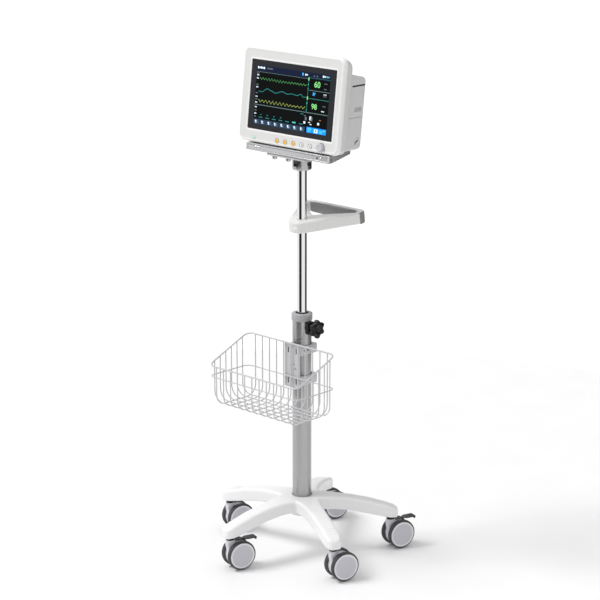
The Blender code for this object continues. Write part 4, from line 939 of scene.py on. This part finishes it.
def make_sockets():
    paint("socket_panel", M["lip"])
    left = MONITOR @ shift(-CASE_HALF, 0, 64 * TIP) @ Matrix(((0, 0, -1, 0), (-1, 0, 0, 0), (0, 1, 0, 0),
                                                              (0, 0, 0, 1)))
    for name, z, radius, shade, pins in (("ecg_socket", 36, 9, "green", 5), ("oximeter_socket", 4, 8,
                                                                             "black", 4),
                                         ("pressure_port", -30, 6, "steel", 0)):
        place = left @ shift(-64, z, 0)
        inner = radius - 2.5
        shell = lathe("shell", [(0, 0.3), (inner, 0.3), (inner, 5.2), (inner + 0.5, 6), (radius - 0.7, 6),
                                (radius, 5.2), (radius, -8), (0, -8)], M[shade], place, steps=64)
        parts = [shell]
        for i in range(pins):
            a = math.tau * i / pins
            spot = place @ shift(inner * 0.55 * math.cos(a), inner * 0.55 * math.sin(a), 0.2)
            parts.append(lathe("pin", [(0, 3.6), (0.4, 3.4), (0.55, 2.8), (0.55, 0), (0, 0)], M["chrome"],
                               spot, steps=12))
        fuse(name + "_shell", parts, "monitor", name, slot={"green": "green_key", "black": "black_plastic",
                                                            "steel": "polished_steel"}[shade])
    paint("mains_inlet", M["black"])
    pins = [box("pin", (81 + x - 1, 86, z), (81 + x + 1, 95, z + 4), M["steel"], CASE, 0.3, 2)
            for x, z in ((-7, -82), (0, -77), (7, -82))]
    fuse("inlet_pins", pins, "monitor")
    for node in ("lcd_module", "power_supply"):
        paint(node, M["steel"])
    paint("main_board", M["board"])
    paint("battery", M["battery"])
    paint("screen_glass", M["glass"])


# ---------------------------------------------------------------- the lit picture

def make_picture():
    """Waves, numbers and blank bars on the display: u runs across and v down, both 0 to 1."""
    half_w, half_h, middle = 128.5, 75.0, 6.0
    bm = bmesh.new()
    kinds = []

    def spot(u, v, layer):
        return ((2 * u - 1) * half_w * MM, (0.52 - 0.045 * layer) * MM, (middle + (1 - 2 * v) * half_h) * MM)

    def patch(kind, points, layer=1):
        material = kind if not isinstance(kind, str) else LIT[kind]
        if material not in kinds:
            kinds.append(material)
        face = bm.faces.new([bm.verts.new(spot(u, v, layer)) for u, v in points])
        face.material_index = kinds.index(material)

    def bar(kind, u0, v0, u1, v1, layer=1):
        patch(kind, ((u0, v0), (u0, v1), (u1, v1), (u1, v0)), layer)

    def trace(kind, points, thick, layer=2):
        """A ribbon of constant thickness; thick is a share of the height."""
        across = thick * half_h / half_w
        sides = []
        for i, (u, v) in enumerate(points):
            a, b = points[max(0, i - 1)], points[min(len(points) - 1, i + 1)]
            du, dv = (b[0] - a[0]) * half_w, (b[1] - a[1]) * half_h
            size = math.hypot(du, dv)
            sides.append(((u + dv / size * across / 2, v - du / size * thick / 2),
                          (u - dv / size * across / 2, v + du / size * thick / 2)))
        for (a, b), (c, d) in zip(sides, sides[1:]):
            patch(kind, (a, b, d, c), layer)

    def ragged(u):
        """A small repeatable unevenness between -1 and 1."""
        return math.sin(u * 173.3) * 0.5 + math.sin(u * 91.7 + 1.3) * 0.3 + math.sin(u * 311.1 + 0.4) * 0.2

    bar(M["display"], 0, 0, 1, 1, 0)
    bar("navy", 0, 0.0, 1, 0.105, 1)
    bar("grey_teal", 0, 0.105, 0.71, 0.111, 2)
    for u0, u1, v0, v1, kind in ((0.012, 0.115, 0.018, 0.055, "white"), (0.145, 0.225, 0.022, 0.05, "dim"),
                                 (0.66, 0.70, 0.03, 0.062, "white"), (0.775, 0.795, 0.04, 0.06, "dim"),
                                 (0.815, 0.835, 0.04, 0.062, "dim"), (0.895, 0.945, 0.02, 0.055, "white"),
                                 (0.950, 0.988, 0.02, 0.055, "cyan"), (0.622, 0.642, 0.022, 0.068, "sky")):
        count = max(1, round((u1 - u0) / 0.02))
        for i in range(count):
            step = (u1 - u0) / count
            shrink = 0.006 * (i % 2)
            bar(kind, u0 + i * step, v0 + shrink, u0 + (i + 0.82) * step, v1 - shrink, 2)

    def zigzag(middle_v, teeth, first, last):
        """Teeth that grow or fade from left to right."""
        path = []
        for i in range(2 * teeth + 1):
            share = i / (2 * teeth)
            high = (first + (last - first) * share) * (1 + 0.35 * ragged(share + middle_v))
            path.append((0.055 + 0.635 * share,
                         middle_v + (high if i % 2 else -high) + 0.005 * ragged(share)))
        return path

    trace("green", zigzag(0.222, 16, 0.021, 0.015), 0.0085)
    trace("lime", zigzag(0.600, 13, 0.029, 0.017), 0.0095)
    knots = ((0.045, 0.437), (0.09, 0.443), (0.165, 0.378), (0.22, 0.405), (0.28, 0.430), (0.37, 0.388),
             (0.44, 0.415), (0.50, 0.402), (0.57, 0.414), (0.625, 0.385), (0.655, 0.425), (0.70, 0.418))
    wave = []
    for (u0, v0), (u1, v1) in zip(knots, knots[1:]):
        for i in range(12):
            t = i / 12
            wave.append((u0 + (u1 - u0) * t, v0 + (v1 - v0) * (t * t * (3 - 2 * t))))
    trace("teal", wave + [knots[-1]], 0.012)

    bar("grey_teal", 0, 0.662, 1, 0.673, 2)
    bar("teal_line", 0.711, 0.075, 0.717, 0.662, 2)
    for v0, v1 in ((0.085, 0.135), (0.40, 0.455)):
        bar("bright_green", 0.708, v0, 0.722, v1, 3)
    for v0, v1 in ((0.19, 0.21), (0.27, 0.285), (0.50, 0.53), (0.62, 0.635)):
        bar("cyan", 0.709, v0, 0.718, v1, 3)
    bar("teal_line", 0.73, 0.082, 1, 0.087, 2)
    bar("grey_teal", 0.73, 0.288, 1, 0.298, 2)
    bar("teal_line", 0.73, 0.425, 1, 0.435, 2)
    for v, kind in ((0.135, "dim"), (0.165, "white"), (0.22, "white"), (0.325, "dim"), (0.37, "white"),
                    (0.47, "dim"), (0.53, "white"), (0.575, "dim"), (0.63, "white"), (0.71, "white"),
                    (0.765, "dim"), (0.82, "white"), (0.87, "dim")):
        bar(kind, 0.010, v - 0.011, 0.020, v + 0.011, 2)
        bar(kind, 0.024, v - 0.008, 0.036, v + 0.010, 2)
    for u, v, kind in ((0.945, 0.155, "dim"), (0.945, 0.245, "dim"), (0.945, 0.335, "white"), (0.945, 0.365,
                                                                                               "dim"),
                       (0.93, 0.615, "white"), (0.945, 0.53, "dim"), (0.66, 0.705, "teal")):
        for i in range(3):
            bar(kind, u - 0.02 + i * 0.014, v - 0.009, u - 0.011 + i * 0.014, v + 0.009, 2)
    for u, v0, v1, kind in ((0.775, 0.725, 0.79, "white"), (0.79, 0.735, 0.80, "dim"), (0.765, 0.82, 0.835,
                                                                                        "white"),
                            (0.785, 0.85, 0.865, "white"), (0.905, 0.76, 0.775, "orange"),
                            (0.885, 0.81, 0.85, "white"),
                            (0.70, 0.72, 0.735, "dim"), (0.715, 0.745, 0.80, "dim"), (0.70, 0.82, 0.86,
                                                                                      "white")):
        bar(kind, u - 0.012, v0, u + 0.012, v1, 2)
    for i in range(7):
        u = 0.10 + i * 0.092
        bar("teal", u - 0.026, 0.868, u + 0.026, 0.883, 2)
        if i < 4:
            bar("teal", u - 0.010, 0.822, u + 0.010, 0.836, 2)
        if i == 5:
            bar("cyan", u - 0.022, 0.858, u + 0.022, 0.880, 3)
    for i in range(8):
        u0 = 0.004 + i * 0.089
        bar("slate", u0, 0.912, u0 + 0.084, 0.998, 1)
        bar("white", u0 + 0.022, 0.932, u0 + 0.040, 0.962, 2)
        bar("dim", u0 + 0.042, 0.942, u0 + 0.058, 0.980, 2)
        bar("white", u0 + 0.026, 0.968, u0 + 0.048, 0.978, 2)
    bar("blue", 0.735, 0.905, 0.995, 0.998, 1)
    for u0, u1, v0, v1, kind in ((0.745, 0.80, 0.915, 0.955, "sky"), (0.75, 0.785, 0.962, 0.985, "cyan"),
                                 (0.835, 0.885, 0.925, 0.985, "white"), (0.905, 0.945, 0.935, 0.985, "sky"),
                                 (0.95, 0.985, 0.92, 0.95, "cyan"), (0.85, 0.87, 0.94, 0.97, "blue")):
        bar(kind, u0, v0, u1, v1, 2 + (kind == "blue"))
    bm.normal_update()
    mesh = as_mesh("picture", bm)
    for kind in kinds:
        mesh.materials.append(kind)
    parts = [item("picture", mesh, None, MONITOR)]
    for words, u, v, tall, kind in (("60", 0.832, 0.19, 21, "bright_green"), ("37", 0.797, 0.352, 9.5, "sky"),
                                    ("98", 0.812, 0.56, 19, "bright_green")):
        text = bpy.data.curves.new("number", "FONT")
        text.body = words
        text.align_x = text.align_y = "CENTER"
        text.size = tall * MM
        text.offset = 0.35 * MM
        x, _, z = spot(u, v, 3)
        parts.append(curve_item("number", text, LIT[kind], face_at(x / MM, z / MM, 0.38)))
    fuse("display_picture", parts, "monitor", slot="black_glass", angle=10)


make_base()
make_column()
make_pole()
for caster in range(5):
    make_caster(caster)
make_basket()
make_bracket()
make_handle()
make_head()
make_tray()
make_bezel()
make_controls()
make_case()
make_sockets()
make_picture()


# ---------------------------------------------------------------- floor, light and camera

WHITE = (1, 1, 1, 1)


def make_stage():
    paper = surface("white_floor", (0.90, 0.90, 0.905), 0.55, grain=60, spread=0.004, bump=0.05)
    bm = bmesh.new()
    bmesh.ops.create_circle(bm, cap_ends=True, segments=STEPS, radius=1.9)
    floor = item("floor", as_mesh("floor", bm), paper, Matrix.Translation((AXIS.x, AXIS.y, -0.0002)))


def make_world():
    """White all round, with two dark sides that only polished surfaces show."""
    world = bpy.data.worlds.new("studio")
    bpy.context.scene.world = world
    world.use_nodes = True
    tree = world.node_tree
    tree.nodes.clear()
    join = tree.links.new
    place, split, turn = add(tree, "TexCoord"), add(tree, "SeparateXYZ"), add(tree, "Math")
    join(place.outputs["Generated"], split.inputs[0])
    turn.operation = "ARCTAN2"
    join(split.outputs["Y"], turn.inputs[0])
    join(split.outputs["X"], turn.inputs[1])
    share = add(tree, "MapRange", From_Min=-math.pi, From_Max=math.pi)
    join(turn.outputs[0], share.inputs["Value"])
    bands = add(tree, "ValToRGB")
    ramp = bands.color_ramp
    stops = ((-180, 1), (-119, 1), (-113, 0.03), (-58, 0.02), (-50, 1), (26, 1), (36, 0.04), (128, 0.05),
             (138, 1), (180, 1))
    while len(ramp.elements) < len(stops):
        ramp.elements.new(0.5)
    for element, (angle, tone) in zip(ramp.elements, stops):
        element.position = (angle + 180) / 360
        element.color = (tone, tone, tone, 1)
    join(share.outputs[0], bands.inputs[0])
    height, lift = add(tree, "MapRange", From_Min=0.45, From_Max=0.75), add(tree, "Mix")
    join(split.outputs["Z"], height.inputs["Value"])
    lift.data_type = "RGBA"
    join(height.outputs[0], lift.inputs["Factor"])
    join(bands.outputs[0], lift.inputs["A"])
    lift.inputs["B"].default_value = WHITE
    shiny = add(tree, "Background", Strength=0.95)
    plain = add(tree, "Background", Color=WHITE, Strength=0.72)
    bright = add(tree, "Background", Color=WHITE, Strength=1.1)
    join(lift.outputs["Result"], shiny.inputs["Color"])
    path, out = add(tree, "LightPath"), add(tree, "OutputWorld")
    glossy, seen = add(tree, "MixShader"), add(tree, "MixShader")
    for mix, ray, off, on in ((glossy, "Is Glossy Ray", plain, shiny), (seen, "Is Camera Ray", glossy,
                                                                        bright)):
        join(path.outputs[ray], mix.inputs[0])
        join(off.outputs[0], mix.inputs[1])
        join(on.outputs[0], mix.inputs[2])
    join(seen.outputs[0], out.inputs["Surface"])


def make_camera():
    azimuth, elevation, distance = math.radians(43.68), math.radians(14.95), 5.46
    back = Vector((math.sin(azimuth) * math.cos(elevation), -math.cos(azimuth) * math.cos(elevation),
                   math.sin(elevation)))
    lens = bpy.data.cameras.new("camera")
    lens.sensor_width = 36
    lens.lens = 126
    lens.shift_x = -0.00325
    camera = bpy.data.objects.new("camera", lens)
    bpy.context.scene.collection.objects.link(camera)
    camera.location = Vector((AXIS.x, AXIS.y, 0.6893)) + back * distance
    camera.rotation_euler = (-back).to_track_quat("-Z", "Y").to_euler()
    bpy.context.scene.camera = camera
    right = Vector((math.cos(azimuth), math.sin(azimuth), 0))
    flat = Vector((math.sin(azimuth), -math.cos(azimuth), 0))
    middle = Vector((AXIS.x, AXIS.y, 0.7))
    sun = bpy.data.lights.new("key", "SUN")
    sun.energy = 1.7
    sun.angle = math.radians(22)
    key = bpy.data.objects.new("key", sun)
    bpy.context.scene.collection.objects.link(key)
    key.location = middle + Vector((0, 0, 2))
    key.rotation_euler = (right * 0.72 - flat * 0.05 + Vector((0, 0, -1))).to_track_quat("-Z", "Y").to_euler()


make_stage()
make_world()
make_camera()
bpy.context.scene.view_settings.view_transform = "Standard"
